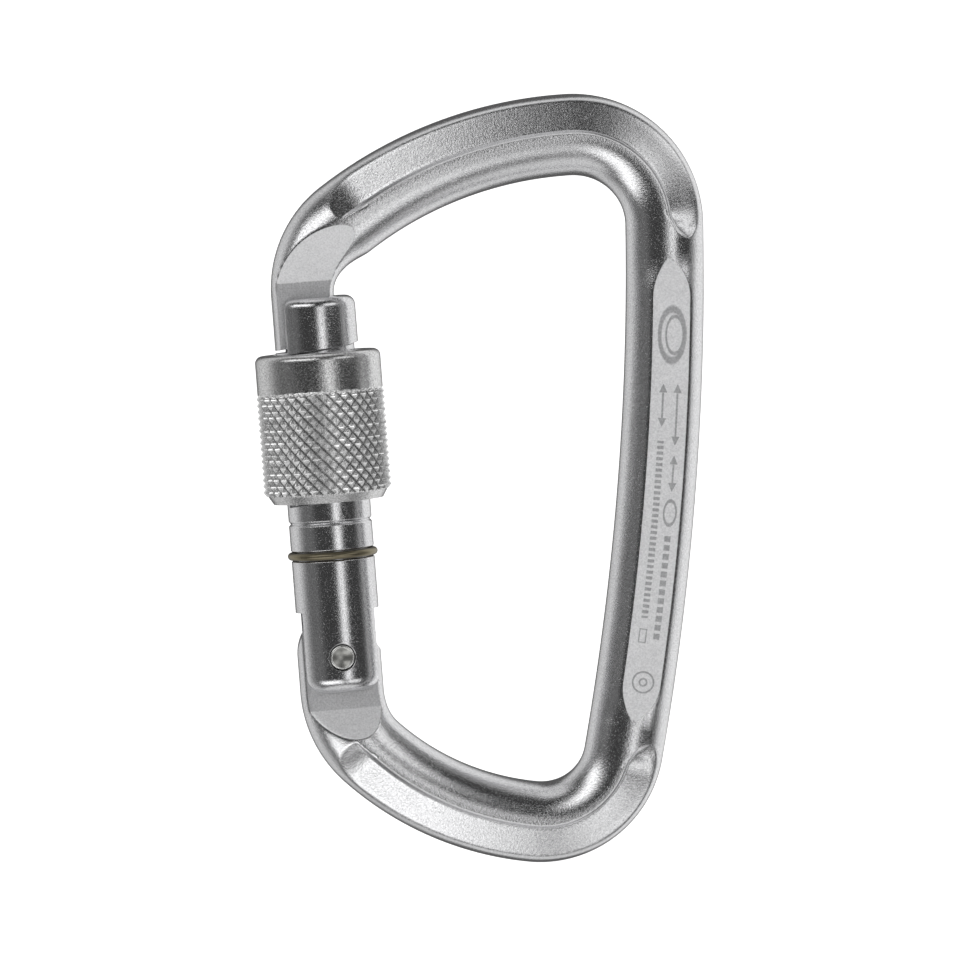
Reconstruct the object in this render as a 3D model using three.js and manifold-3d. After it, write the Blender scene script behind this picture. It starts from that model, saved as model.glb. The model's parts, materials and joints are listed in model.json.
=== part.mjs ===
// A D-shaped locking carabiner, in millimetres: +Z up along the closed gate, +X from the gate to the spine.
// The drawing is made about the hinge pivot and moved at the end, so that the origin is the point inside the
// top bow where the carabiner hangs. The frame is one rod carried along a chain of arcs. Its section is an
// ellipse, with a flat panel down each side of the spine and a pocket in the outer half of each bow.
import * as THREE from "three";
import { mergeVertices } from "three/addons/utils/BufferGeometryUtils.js";
import Module from "manifold-3d";

const wasm = await Module();
wasm.setup();

// ---- Clearances ----
const RUN_GAP = 0.3; // between any two pieces that lie or move beside each other
const THREAD_GAP = 0.25; // round the sleeve's thread
const RING_SEAT_GAP = 0.15; // round the stop ring in its groove
const RIVET_SINK_GAP = 0.37; // round the rivet's spread end in its countersink
const HINGE_SHOULDER_GAP = 0.8; // from the gate's foot down to the frame's shoulder
const NOSE_LEDGE_GAP = 0.45; // from the nose's head up to the ledge that catches it
const NOSE_FLOOR_GAP = 0.75; // from the nose's end down to its slot's floor
const GATE_TOP_GAP = 2.2; // from the gate's top up to the nose's shoulder
const SLEEVE_RING_GAP = 0.44; // from the stop ring's middle up to the sleeve at its lowest
const SLEEVE_SHOULDER_GAP = 0.85; // from the sleeve at its highest up to the nose's shoulder

// ---- Frame: the outer edge, from the hinge round the D to the nose, as lengths, radii and turns ----
const HINGE_END_RADIUS = 6; // round the pivot
const HINGE_STOCK = 1; // rod above that end, before it is rounded
const HINGE_OFFSET = 0.2; // the tongue's middle lies this far outside the gate's axis
const HINGE_DROP = 4.9; // from the pivot down to where the bend starts
const HINGE_BEND_RADIUS = 18.5;
const HINGE_BEND_TURN = 43.8;
const BOTTOM_BOW_RADIUS = 45.6;
const BOTTOM_BOW_TURN = 35.8;
const BOTTOM_CORNER_RADIUS = 17.2;
const BOTTOM_CORNER_TURN = 86.3;
const SPINE_LENGTH = 75.1;
const SPINE_TURN = 10.9;
const TOP_CORNER_RADIUS = 18.2;
const TOP_CORNER_TURN = 92.6;
const NOSE_BEND_RADIUS = 17.7;
const NOSE_BEND_TURN = 56.4;
const NOSE_LENGTH = 9;

// ---- Frame: widths of the rod across the D, and its half thicknesses ----
const HINGE_WIDTH = 11.6;
const BEND_WIDTH = 11.2;
const BOW_WIDTH = 11.3;
const CORNER_WIDTH = 11;
const SPINE_WIDTH = 10.85;
const NOSE_NECK_WIDTH = 11.25;
const ROD_HALF = 4.9; // half thickness of the rod, and of the spine at its flat panels
const SPINE_SWELL = 0.7; // what the spine's ellipse would add to that without the panels
const PANEL_FADE = 7; // length over which the spine's ellipse thins to the rod's

// ---- Frame: the pockets in the outer half of each bow ----
const POCKET_RIM_DEPTH = 2.5; // at the outer rim
const POCKET_ROOT_DEPTH = 1.2; // beside the ridge
const POCKET_WALL = 0.5; // width of the wall from the ridge down to the web
const POCKET_END_RADIUS = 6; // run-out at each end
const POCKET_NOSE_INSET = 2; // how far before the nose's bend the top pocket starts to run out

// ---- Frame: the milled tongues ----
const TONGUE_THICKNESS = 5.2;
const HINGE_RAMP = 22; // degrees
const HINGE_CAM_CUT = 1; // depth of the flat that the plunger bears on
const HINGE_CAM_REACH = 2.9; // how far that flat runs towards the spine
const NOSE_SHOULDER_RISE = 1.9; // above the end of the nose bend
const NOSE_RAMP = 17; // degrees
const NOSE_HEAD_STEP = 0.9; // what the nose's locking head adds to its neck on each face
const NOSE_HEAD_HEIGHT = 2.4;
const NOSE_UNDERSIZE = 0.06; // radius of the turned nose below the barrel's

// ---- Gate ----
const BARREL_R = 5.76;
const GATE_FOOT = 5; // below the pivot
const GATE_FOOT_ROUND = 2.2;
const GATE_TOP_ROUND = 1;
const NOSE_SLOT_WALL = 2.52; // wall left on the spine side of the nose's slot
const EAR_TRIM_DEPTH = 1.56; // flat on the ears' outer side
const MARK_GROOVE = { z: 18.6, width: 0.5, depth: 0.25 };

// ---- Hinge rivet, plunger and return spring ----
const RIVET_R = 1.2;
const RIVET_HOLE_GAP = 0.4; // round the rivet in the ears, under its spread ends
const RIVET_SPREAD = 0.3; // what the spread ends add to the radius
const RIVET_SPREAD_LENGTH = 0.35;
const RIVET_EDGE = 0.15; // bevel round each end
const RIVET_INSET = 0.25; // of each end below the barrel's radius
const RIVET_SINK_DEPTH = 0.65; // of the countersink in each ear
const RIVET_SINK_LAND = 0.1;
const RIVET_DISH = 0.25;
const PLUNGER_R = 1.7;
const PLUNGER_LENGTH = 6;
const PLUNGER_ROUND = 0.5;
const PLUNGER_SHOULDER = 0.9; // width of the step that the spring sits on
const PLUNGER_NECK_LENGTH = 2;
const SPRING_WIRE_R = 0.28;
const SPRING_TURNS = 6;
const SPRING_LENGTH = 10;

// ---- Stop ring ----
const RING_WIRE_R = 0.52;
const RING_PROUD = 0.49; // of the barrel
const RING_Z = 14.1;
const RING_OPENING = 24; // degrees, at the back

// ---- Sleeve ----
const SLEEVE_BELOW_GATE_TOP = 7.65; // its top, at rest
const SLEEVE_ABOVE_RING = 7.39; // its foot, at rest, above the ring's middle
const SLEEVE_WALL = 2.64; // from the bore to the plain collar
const SLEEVE_GRIP_PROUD = 0.1; // of the collar, over the knurling's flanks
const SLEEVE_COLLAR = 5.25; // plain length at the top
const SLEEVE_COLLAR_BEVEL = 0.1;
const SLEEVE_RIM_ROUND = 1;
const SLEEVE_FOOT_WALL = 1.54; // from the bore to the foot's bevelled edge
const SLEEVE_FOOT_CHAMFER = 1.15;
const SLEEVE_BORE_BEVEL = 0.3;
const THREAD_LEAD = 3.2;
const THREAD_DEPTH = 0.55;
const THREAD_WIDTH = 0.9; // the sleeve's ridge
const THREAD_FLANK = 0.3; // what each flank adds to the width over the thread's depth
const THREAD_FACETS = 18; // round one turn
const THREAD_RIDGE_TURNS = 1;
const THREAD_RIDGE_DROP = 0.55; // of the ridge's middle below the sleeve's

const DEG = Math.PI / 180;
const OVERCUT = 1; // how far a cutter reaches past the surface it opens
const TONGUE_HALF = TONGUE_THICKNESS / 2;
const HINGE_TOP = HINGE_END_RADIUS + HINGE_STOCK;
const HINGE_SHOULDER = GATE_FOOT + HINGE_SHOULDER_GAP;
const HINGE_CAM_HEIGHT = HINGE_END_RADIUS - HINGE_CAM_CUT;
const NOSE_HEAD_HALF = TONGUE_HALF + NOSE_HEAD_STEP;
const NOSE_WIDTH = 2 * BARREL_R - NOSE_SLOT_WALL - RUN_GAP;
const POCKET_RIM_HALF = ROD_HALF - POCKET_RIM_DEPTH;
const POCKET_ROOT_HALF = ROD_HALF - POCKET_ROOT_DEPTH;

// ---- Solids ----
function solid(geometry) {
  const bare = geometry.clone();
  for (const key of ["normal", "uv"]) bare.deleteAttribute(key);
  const merged = mergeVertices(bare, 1e-4);
  const positions = merged.attributes.position.array;
  const faces = merged.index.array;
  const used = [];
  for (let i = 0; i < faces.length; i += 3) {
    const [a, b, c] = [faces[i], faces[i + 1], faces[i + 2]];
    if (a !== b && b !== c && c !== a) used.push(a, b, c);
  }
  return new wasm.Manifold(
    new wasm.Mesh({ numProp: 3, vertProperties: positions, triVerts: new Uint32Array(used) }),
  );
}

function node(name, made, material) {
  const mesh = made.getMesh();
  const geometry = new THREE.BufferGeometry();
  const positions = new Float32Array(mesh.numVert * 3);
  for (let i = 0; i < mesh.numVert; i++) {
    for (let k = 0; k < 3; k++) positions[3 * i + k] = mesh.vertProperties[mesh.numProp * i + k];
  }
  geometry.setAttribute("position", new THREE.BufferAttribute(positions, 3));
  geometry.setIndex(new THREE.BufferAttribute(new Uint32Array(mesh.triVerts), 1));
  geometry.computeVertexNormals();
  const result = new THREE.Mesh(geometry, material);
  result.name = name;
  return result;
}

// A box from one corner to the other.
function box([x0, y0, z0], [x1, y1, z1]) {
  const made = new THREE.BoxGeometry(x1 - x0, y1 - y0, z1 - z0);
  return solid(made.translate((x0 + x1) / 2, (y0 + y1) / 2, (z0 + z1) / 2));
}

// A profile of [radius, z] points turned about the Z axis, listed from the foot up.
function turned(profile, segments) {
  const points = profile.map(([r, z]) => new THREE.Vector2(r, z));
  return solid(new THREE.LatheGeometry(points, segments).rotateX(Math.PI / 2));
}

// The same profile turned about the Y axis.
function turnedAcross(profile, segments) {
  const points = profile.map(([r, y]) => new THREE.Vector2(r, y));
  return solid(new THREE.LatheGeometry(points, segments));
}

// An X-Z outline carried from -half to +half in Y.
function plate(shape, half, curveSegments = 12) {
  const made = new THREE.ExtrudeGeometry(shape, { depth: 2 * half, bevelEnabled: false, curveSegments });
  return solid(made.rotateX(Math.PI / 2).translate(0, half, 0));
}

// A Y-Z outline carried from x0 to x1.
function bar(points, x0, x1) {
  const shape = new THREE.Shape(points.map(([y, z]) => new THREE.Vector2(y, z)));
  const made = new THREE.ExtrudeGeometry(shape, { depth: x1 - x0, bevelEnabled: false });
  const basis = new THREE.Matrix4().makeBasis(
    new THREE.Vector3(0, 1, 0),
    new THREE.Vector3(0, 0, 1),
    new THREE.Vector3(1, 0, 0),
  );
  return solid(made.applyMatrix4(basis).translate(x0, 0, 0));
}

// A closed outline carried along a list of stations: outlineOf gives each station's ring of [x, y, z] points.
function carried(stations, outlineOf) {
  const rings = stations.map(outlineOf);
  const count = rings[0].length;
  const positions = rings.flat(2);
  const faces = [];
  for (let i = 0; i + 1 < rings.length; i++) {
    for (let k = 0; k < count; k++) {
      const [a, b] = [i * count + k, i * count + ((k + 1) % count)];
      faces.push(a, b, b + count, a, b + count, a + count);
    }
  }
  const last = (rings.length - 1) * count;
  for (let k = 1; 2 * k <= count; k++) {
    const [a, b, c, d] = [k, (count - k + 1) % count, count - k, k - 1];
    faces.push(...cap(d, a, c, b, 0, false), ...cap(d, a, c, b, last, true));
  }
  const geometry = new THREE.BufferGeometry();
  geometry.setAttribute("position", new THREE.Float32BufferAttribute(positions, 3));
  geometry.setIndex(faces);
  const made = solid(geometry);
  if (made.volume() > 0) return made;
  geometry.setIndex(faces.map((_, i) => faces[i - (i % 3) + 2 - (i % 3)]));
  return solid(geometry);
}

// Two faces that close one strip of an end, between the points before and after on each side.
function cap(before, after, afterBack, beforeBack, shift, flip) {
  const faces = [before, afterBack, after, before, beforeBack, afterBack].map((i) => i + shift);
  return flip ? [faces[0], faces[2], faces[1], faces[3], faces[5], faces[4]] : faces;
}

// ---- The frame's outer edge ----
// Each row: name, length, turn in degrees, rod width at its far end, stations.
function edgeRows(topBowRadius) {
  const arc = (radius, turn) => radius * turn * DEG;
  const bottomTurn = HINGE_BEND_TURN + BOTTOM_BOW_TURN + BOTTOM_CORNER_TURN;
  const topBowTurn = 360 - bottomTurn - SPINE_TURN - TOP_CORNER_TURN - NOSE_BEND_TURN;
  return [
    ["hinge", HINGE_TOP + HINGE_DROP, 0, HINGE_WIDTH, 4],
    ["hingeBend", arc(HINGE_BEND_RADIUS, HINGE_BEND_TURN), HINGE_BEND_TURN, BEND_WIDTH, 12],
    ["bottomBow", arc(BOTTOM_BOW_RADIUS, BOTTOM_BOW_TURN), BOTTOM_BOW_TURN, BOW_WIDTH, 10],
    ["bottomCorner", arc(BOTTOM_CORNER_RADIUS, BOTTOM_CORNER_TURN), BOTTOM_CORNER_TURN, CORNER_WIDTH, 16],
    ["spine", SPINE_LENGTH, SPINE_TURN, SPINE_WIDTH, 20],
    ["topCorner", arc(TOP_CORNER_RADIUS, TOP_CORNER_TURN), TOP_CORNER_TURN, BOW_WIDTH, 16],
    ["topBow", arc(topBowRadius, topBowTurn), topBowTurn, NOSE_NECK_WIDTH, 12],
    ["noseBend", arc(NOSE_BEND_RADIUS, NOSE_BEND_TURN), NOSE_BEND_TURN, NOSE_WIDTH, 12],
    ["nose", NOSE_LENGTH, 0, NOSE_WIDTH, 3],
  ];
}

// Walks the rows from the hinge tongue's outer edge, and gives the stations and each row's end.
function walkEdge(topBowRadius) {
  let [x, z, heading, s, width] = [-HINGE_WIDTH / 2 - HINGE_OFFSET, HINGE_TOP, -90, 0, HINGE_WIDTH];
  const stations = [{ x, z, heading, s, width }];
  const ends = {};
  for (const [name, length, turn, farWidth, steps] of edgeRows(topBowRadius)) {
    const start = { x, z, heading, s, width };
    for (let i = 1; i <= steps; i++) {
      const half = (turn * DEG) / steps / 2;
      const chord = (length / steps) * (half ? Math.sin(half) / half : 1);
      const middle = (heading * DEG) + half;
      x += chord * Math.cos(middle);
      z += chord * Math.sin(middle);
      heading = start.heading + (turn * i) / steps;
      s = start.s + (length * i) / steps;
      width = THREE.MathUtils.lerp(start.width, farWidth, THREE.MathUtils.smoothstep(i / steps, 0, 1));
      stations.push({ x, z, heading, s, width });
    }
    ends[name] = { x, z, s, start: start.s };
  }
  return { stations, ends };
}

// The top bow's radius is what closes the D: it brings the nose's outer edge to the barrel's own edge.
function closingRadius() {
  let [low, high] = [10, 300];
  for (let i = 0; i < 60; i++) {
    const middle = (low + high) / 2;
    if (walkEdge(middle).ends.nose.x > -BARREL_R) low = middle;
    else high = middle;
  }
  return (low + high) / 2;
}

const { stations: EDGE, ends: ENDS } = walkEdge(closingRadius());
const SHOULDER_Z = ENDS.noseBend.z + NOSE_SHOULDER_RISE;
const GATE_TOP = SHOULDER_Z - GATE_TOP_GAP;
const SLEEVE_TOP = GATE_TOP - SLEEVE_BELOW_GATE_TOP;
const SLEEVE_FOOT = RING_Z + SLEEVE_ABOVE_RING;
const SLEEVE_DOWN = SLEEVE_ABOVE_RING - SLEEVE_RING_GAP; // travel to the stop ring
const SLEEVE_UP = SHOULDER_Z - SLEEVE_SHOULDER_GAP - SLEEVE_TOP; // travel to the locked end
const SLEEVE_BORE_R = BARREL_R + RUN_GAP;
const SLEEVE_R = SLEEVE_BORE_R + SLEEVE_WALL;
const SLEEVE_RIM_R = SLEEVE_R - SLEEVE_RIM_ROUND;
// The nose ends on a circle about the pivot that the sleeve's rim stays inside as the gate swings.
const NOSE_TIP_RADIUS = Math.hypot(SLEEVE_RIM_R, SLEEVE_TOP) + RUN_GAP;
const NOSE_SLOT_FLOOR = NOSE_TIP_RADIUS - NOSE_FLOOR_GAP;
const HEAD_TOP = NOSE_TIP_RADIUS + NOSE_HEAD_HEIGHT;

// ---- The frame's section ----
function ramp(value, from, to) {
  return THREE.MathUtils.clamp((value - from) / (to - from), 0, 1);
}

// Half thickness of the rod's ellipse at a station: thicker along the spine, where the panels cut it flat.
function ellipseHalf(s) {
  const into = ramp(s, ENDS.spine.start, ENDS.spine.start + PANEL_FADE);
  const out = 1 - ramp(s, ENDS.spine.s - PANEL_FADE, ENDS.spine.s);
  return ROD_HALF + SPINE_SWELL * Math.min(into, out);
}

// How far the pocket's cutter is lifted at a station: nothing along a bow, and a round run-out past each end.
function pocketLift(s) {
  const spans = [
    [ENDS.bottomBow.start, ENDS.spine.start],
    [ENDS.spine.s, ENDS.topBow.s - POCKET_NOSE_INSET],
  ];
  const past = Math.min(...spans.map(([a, b]) => Math.max(a - s, s - b, 0)));
  if (past >= POCKET_END_RADIUS) return ROD_HALF;
  return POCKET_END_RADIUS - Math.sqrt(POCKET_END_RADIUS ** 2 - past ** 2);
}

// Half thickness at v across the rod, from the outer edge: the least of ellipse, panel and pocket.
function halfThickness(v, width, s) {
  const across = (2 * v) / width - 1;
  const round = ellipseHalf(s) * Math.sqrt(Math.max(0, 1 - across * across));
  const toRidge = width / 2 - v;
  const web = THREE.MathUtils.lerp(POCKET_ROOT_HALF, POCKET_RIM_HALF, ramp(toRidge, POCKET_WALL, width / 2));
  const wall = Math.max(0, 1 - toRidge / POCKET_WALL) * POCKET_ROOT_DEPTH;
  return Math.min(round, ROD_HALF, web + wall + pocketLift(s));
}

// Places across the rod: shares of the outer half from the edge to the ridge, then of the inner half.
const OUTER_SHARES = [0.03, 0.1, 0.2, 0.32, 0.5, 0.7];
const INNER_SHARES = [0.2, 0.4, 0.58, 0.74, 0.88, 0.97];

function sectionAt(station) {
  const { x, z, heading, s, width } = station;
  const [nx, nz] = [-Math.sin(heading * DEG), Math.cos(heading * DEG)]; // inwards, across the D
  const middle = width / 2;
  const places = [
    ...OUTER_SHARES.map((share) => share * middle),
    middle - POCKET_WALL,
    middle,
    ...INNER_SHARES.map((share) => middle + share * middle),
  ];
  const point = (v, y) => [x + nx * v, y, z + nz * v];
  const front = places.map((v) => point(v, -halfThickness(v, width, s)));
  const back = places.map((v) => point(v, halfThickness(v, width, s)));
  return [point(0, 0), ...front, point(width, 0), ...back.reverse()];
}

// A cutter that leaves a tongue and the ramp from it up to the full rod, on one face.
function tongueCutter(side, tongueZ, shoulderZ, rampDegrees, x0, x1) {
  const away = Math.sign(shoulderZ - tongueZ);
  const depth = 2 * ROD_HALF;
  const far = shoulderZ + (away * (depth - TONGUE_HALF)) / Math.tan(rampDegrees * DEG);
  const points = [
    [side * TONGUE_HALF, tongueZ],
    [side * TONGUE_HALF, shoulderZ],
    [side * depth, far],
    [side * depth, tongueZ],
  ];
  return bar(side * away > 0 ? points : points.reverse(), x0, x1);
}

function hingeEndOutline() {
  const shape = new THREE.Shape();
  const cut = Math.sqrt(HINGE_END_RADIUS ** 2 - HINGE_CAM_HEIGHT ** 2);
  const far = 2 * HINGE_END_RADIUS;
  shape.moveTo(-far, 0);
  shape.lineTo(-HINGE_END_RADIUS, 0);
  shape.absarc(0, 0, HINGE_END_RADIUS, Math.PI, Math.PI - Math.atan2(HINGE_CAM_HEIGHT, cut), true);
  shape.lineTo(HINGE_CAM_REACH, HINGE_CAM_HEIGHT);
  shape.lineTo(HINGE_WIDTH / 2, 0);
  shape.lineTo(far, -OVERCUT);
  shape.lineTo(far, far);
  shape.lineTo(-far, far);
  shape.closePath();
  return shape;
}

function noseTipOutline(radius, x0, x1, floor) {
  const shape = new THREE.Shape();
  const angle = (x) => Math.acos(x / radius);
  shape.moveTo(x0, floor);
  shape.lineTo(x1, floor);
  shape.absarc(0, 0, radius, angle(x1), angle(x0), false);
  shape.closePath();
  return shape;
}

// What turning the nose to the barrel's radius takes off, below the shoulder.
function noseTurning() {
  const [low, high] = [NOSE_TIP_RADIUS - NOSE_HEAD_HEIGHT, SHOULDER_Z];
  const reach = 2 * BARREL_R;
  const r = BARREL_R - NOSE_UNDERSIZE;
  const kept = [[0, low - OVERCUT], [r, low - OVERCUT], [r, high + OVERCUT], [0, high + OVERCUT]];
  return box([-reach, -reach, low], [reach, reach, high]).subtract(turned(kept, 64));
}

// What thins the nose on one face to a half thickness, from z0 to z1 and as far as x1.
function noseCutter(side, half, z0, z1, x1) {
  const [inner, outer] = [side * half, side * 2 * ROD_HALF];
  const [y0, y1] = [Math.min(inner, outer), Math.max(inner, outer)];
  return box([-2 * BARREL_R, y0, z0], [x1, y1, z1]);
}

function frameBody() {
  let made = carried(EDGE, sectionAt);
  const [hingeX, reachX] = [HINGE_WIDTH, 2 * BARREL_R];
  const noseEnd = NOSE_TIP_RADIUS - NOSE_LENGTH;
  const noseX = BARREL_R + RUN_GAP;
  const headX = EAR_TRIM_DEPTH - BARREL_R + RUN_GAP; // the head's outer end, behind the gate's ears
  for (const side of [-1, 1]) {
    made = made
      .subtract(tongueCutter(side, HINGE_TOP + OVERCUT, -HINGE_SHOULDER, HINGE_RAMP, -hingeX, hingeX))
      .subtract(tongueCutter(side, HEAD_TOP, SHOULDER_Z, NOSE_RAMP, -reachX, reachX))
      .subtract(noseCutter(side, TONGUE_HALF, HEAD_TOP, SHOULDER_Z, noseX))
      .subtract(noseCutter(side, TONGUE_HALF, noseEnd, HEAD_TOP, headX))
      .subtract(noseCutter(side, NOSE_HEAD_HALF, noseEnd, HEAD_TOP, noseX));
  }
  made = made.subtract(plate(hingeEndOutline(), TONGUE_THICKNESS));
  made = made.subtract(noseTurning());
  const tip = noseTipOutline(NOSE_TIP_RADIUS, -reachX, BARREL_R, noseEnd - OVERCUT);
  made = made.subtract(plate(tip, 2 * ROD_HALF, 24));
  const hole = RIVET_R + RUN_GAP;
  const reach = TONGUE_THICKNESS;
  return made.subtract(turnedAcross([[0, -reach], [hole, -reach], [hole, reach], [0, reach]], 32));
}

// ---- Threads ----
// A ridge of trapezoid section that climbs by the lead each turn, from z0 to z1.
function helixRidge(rootR, crestR, rootWidth, crestWidth, z0, z1, phase) {
  const steps = Math.ceil((THREAD_FACETS * (z1 - z0)) / THREAD_LEAD);
  const outline = [
    [rootR, -rootWidth / 2],
    [crestR, -crestWidth / 2],
    [crestR, crestWidth / 2],
    [rootR, rootWidth / 2],
  ];
  const list = Array.from({ length: steps + 1 }, (_, i) => z0 + ((z1 - z0) * i) / steps);
  return carried(list, (z) => {
    const angle = phase + ((z - z0) / THREAD_LEAD) * 2 * Math.PI;
    return outline.map(([r, dz]) => [r * Math.cos(angle), r * Math.sin(angle), z + dz]);
  });
}

// ---- Gate ----
const RIDGE_Z = (SLEEVE_FOOT + SLEEVE_TOP) / 2 - THREAD_RIDGE_DROP;
const RIDGE_SPAN = THREAD_LEAD * THREAD_RIDGE_TURNS;
const RIDGE_LOW = RIDGE_Z - RIDGE_SPAN / 2;
const BORE_R = PLUNGER_R + RUN_GAP;
const PLUNGER_FOOT = HINGE_CAM_HEIGHT + RUN_GAP;
const PLUNGER_TOP = PLUNGER_FOOT + PLUNGER_LENGTH;
const BORE_TOP = PLUNGER_TOP + RUN_GAP + SPRING_LENGTH + RUN_GAP;

function barrelProfile() {
  const foot = -GATE_FOOT;
  const groove = MARK_GROOVE;
  const ringSeatR = BARREL_R + RING_PROUD - 2 * RING_WIRE_R - RING_SEAT_GAP;
  const ringSeat = RING_WIRE_R + RING_SEAT_GAP;
  const rounded = (cz, r, from, to) =>
    [0, 1, 2, 3, 4].map((i) => {
      const angle = (from + ((to - from) * i) / 4) * DEG;
      return [BARREL_R - r + r * Math.cos(angle), cz + r * Math.sin(angle)];
    });
  return [
    [0, foot],
    ...rounded(foot + GATE_FOOT_ROUND, GATE_FOOT_ROUND, -90, 0),
    [BARREL_R, RING_Z - ringSeat],
    [ringSeatR, RING_Z - ringSeat],
    [ringSeatR, RING_Z + ringSeat],
    [BARREL_R, RING_Z + ringSeat],
    [BARREL_R, groove.z - groove.width / 2],
    [BARREL_R - groove.depth, groove.z],
    [BARREL_R, groove.z + groove.width / 2],
    ...rounded(GATE_TOP - GATE_TOP_ROUND, GATE_TOP_ROUND, 0, 90),
    [0, GATE_TOP],
  ];
}

// The slot that takes the nose: narrow at its neck, wide at its head, open to the outside and the top.
function noseSlot() {
  const neck = TONGUE_HALF + RUN_GAP;
  const head = NOSE_HEAD_HALF + RUN_GAP;
  const reach = BARREL_R + OVERCUT;
  const inside = BARREL_R - NOSE_SLOT_WALL;
  const ledge = HEAD_TOP + NOSE_LEDGE_GAP;
  const top = GATE_TOP + OVERCUT;
  const wide = box([-reach, -head, NOSE_SLOT_FLOOR], [inside, head, ledge]);
  const narrow = box([-reach, -neck, NOSE_SLOT_FLOOR], [inside, neck, top]);
  const trim = box([-reach, -reach, NOSE_SLOT_FLOOR], [EAR_TRIM_DEPTH - BARREL_R, reach, top]);
  return wide.add(narrow).add(trim);
}

function hingeSlot() {
  const half = TONGUE_HALF + RUN_GAP;
  const reach = BARREL_R + OVERCUT;
  return box([-reach, -half, -GATE_FOOT - OVERCUT], [reach, half, HINGE_END_RADIUS + RUN_GAP]);
}

function rivetHole() {
  const hole = RIVET_R + RIVET_HOLE_GAP;
  const sink = RIVET_R + RIVET_SPREAD + RIVET_SINK_GAP;
  const [out, land, deep] = [BARREL_R + OVERCUT, BARREL_R - RIVET_SINK_LAND, BARREL_R - RIVET_SINK_DEPTH];
  const half = [[hole, deep], [sink, land], [sink, out], [0, out]];
  const below = half.map(([r, y]) => [r, -y]).reverse();
  return turnedAcross([...below, ...half], 32);
}

function gateBarrel() {
  const low = RIDGE_LOW - SLEEVE_DOWN - THREAD_WIDTH;
  const turnsBelow = (low - RIDGE_LOW) / THREAD_LEAD;
  const high = RIDGE_LOW + RIDGE_SPAN + SLEEVE_UP + THREAD_WIDTH;
  const root = BARREL_R - THREAD_DEPTH;
  const width = THREAD_WIDTH + 2 * THREAD_GAP;
  const mouth = width + 2 * THREAD_FLANK;
  const groove = helixRidge(root, BARREL_R + THREAD_DEPTH, width, mouth, low, high, turnsBelow * 2 * Math.PI);
  const bore = turned([[0, 0], [BORE_R, 0], [BORE_R, BORE_TOP], [0, BORE_TOP]], 24);
  return turned(barrelProfile(), 40)
    .subtract(groove)
    .subtract(noseSlot())
    .subtract(hingeSlot())
    .subtract(bore)
    .subtract(rivetHole());
}

function sleeveBody() {
  const round = SLEEVE_RIM_ROUND;
  const rim = [0, 1, 2, 3, 4].map((i) => {
    const angle = (90 * i * DEG) / 4;
    return [SLEEVE_RIM_R + round * Math.cos(angle), SLEEVE_TOP - round + round * Math.sin(angle)];
  });
  const collar = SLEEVE_TOP - SLEEVE_COLLAR;
  const gripR = SLEEVE_R + SLEEVE_GRIP_PROUD;
  const outer = [
    [SLEEVE_BORE_R + SLEEVE_FOOT_WALL, SLEEVE_FOOT],
    [gripR, SLEEVE_FOOT + SLEEVE_FOOT_CHAMFER],
    [gripR, collar],
    [SLEEVE_R, collar + SLEEVE_COLLAR_BEVEL],
    ...rim,
  ];
  const lead = SLEEVE_BORE_BEVEL;
  const bore = [
    [SLEEVE_BORE_R + lead, SLEEVE_TOP],
    [SLEEVE_BORE_R, SLEEVE_TOP - lead],
    [SLEEVE_BORE_R, SLEEVE_FOOT + lead],
    [SLEEVE_BORE_R + lead, SLEEVE_FOOT],
  ];
  const ring = turned([...outer, ...bore, outer[0]], 48);
  const crest = BARREL_R - THREAD_DEPTH + THREAD_GAP;
  const root = SLEEVE_BORE_R + SLEEVE_BORE_BEVEL;
  const rootWidth = THREAD_WIDTH + 2 * THREAD_FLANK;
  return ring.add(helixRidge(root, crest, rootWidth, THREAD_WIDTH, RIDGE_LOW, RIDGE_LOW + RIDGE_SPAN, 0));
}

// A wire ring in the barrel's groove, open at the back.
function stopRing() {
  const middle = BARREL_R + RING_PROUD - RING_WIRE_R;
  const from = 90 + RING_OPENING / 2;
  const steps = 36;
  const list = Array.from({ length: steps + 1 }, (_, i) => (from + ((360 - RING_OPENING) * i) / steps) * DEG);
  return carried(list, (angle) =>
    Array.from({ length: 8 }, (_, k) => {
      const turn = (2 * Math.PI * k) / 8;
      const r = middle + RING_WIRE_R * Math.cos(turn);
      return [r * Math.cos(angle), r * Math.sin(angle), RING_Z + RING_WIRE_R * Math.sin(turn)];
    }),
  );
}

// A pin through both ears and the tongue, spread into each countersink and dished at its ends.
function hingeRivet() {
  const end = BARREL_R - RIVET_INSET;
  const spread = RIVET_R + RIVET_SPREAD;
  const dishR = RIVET_R - RIVET_SPREAD;
  const half = [
    [RIVET_R, end - RIVET_SPREAD_LENGTH],
    [spread, end - RIVET_EDGE],
    [RIVET_R, end],
    [dishR, end],
    [0, end - RIVET_DISH],
  ];
  const below = half.map(([r, y]) => [r, -y]).reverse();
  return turnedAcross([...below, ...half], 28);
}

function springPlunger() {
  const [foot, top] = [PLUNGER_FOOT, PLUNGER_TOP];
  const shoulder = top - PLUNGER_NECK_LENGTH;
  const neckR = PLUNGER_R - PLUNGER_SHOULDER;
  const profile = [
    [0, foot],
    [PLUNGER_R - PLUNGER_ROUND, foot],
    [PLUNGER_R, foot + PLUNGER_ROUND],
    [PLUNGER_R, shoulder],
    [neckR, shoulder],
    [neckR, top],
    [0, top],
  ];
  return turned(profile, 24);
}

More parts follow.
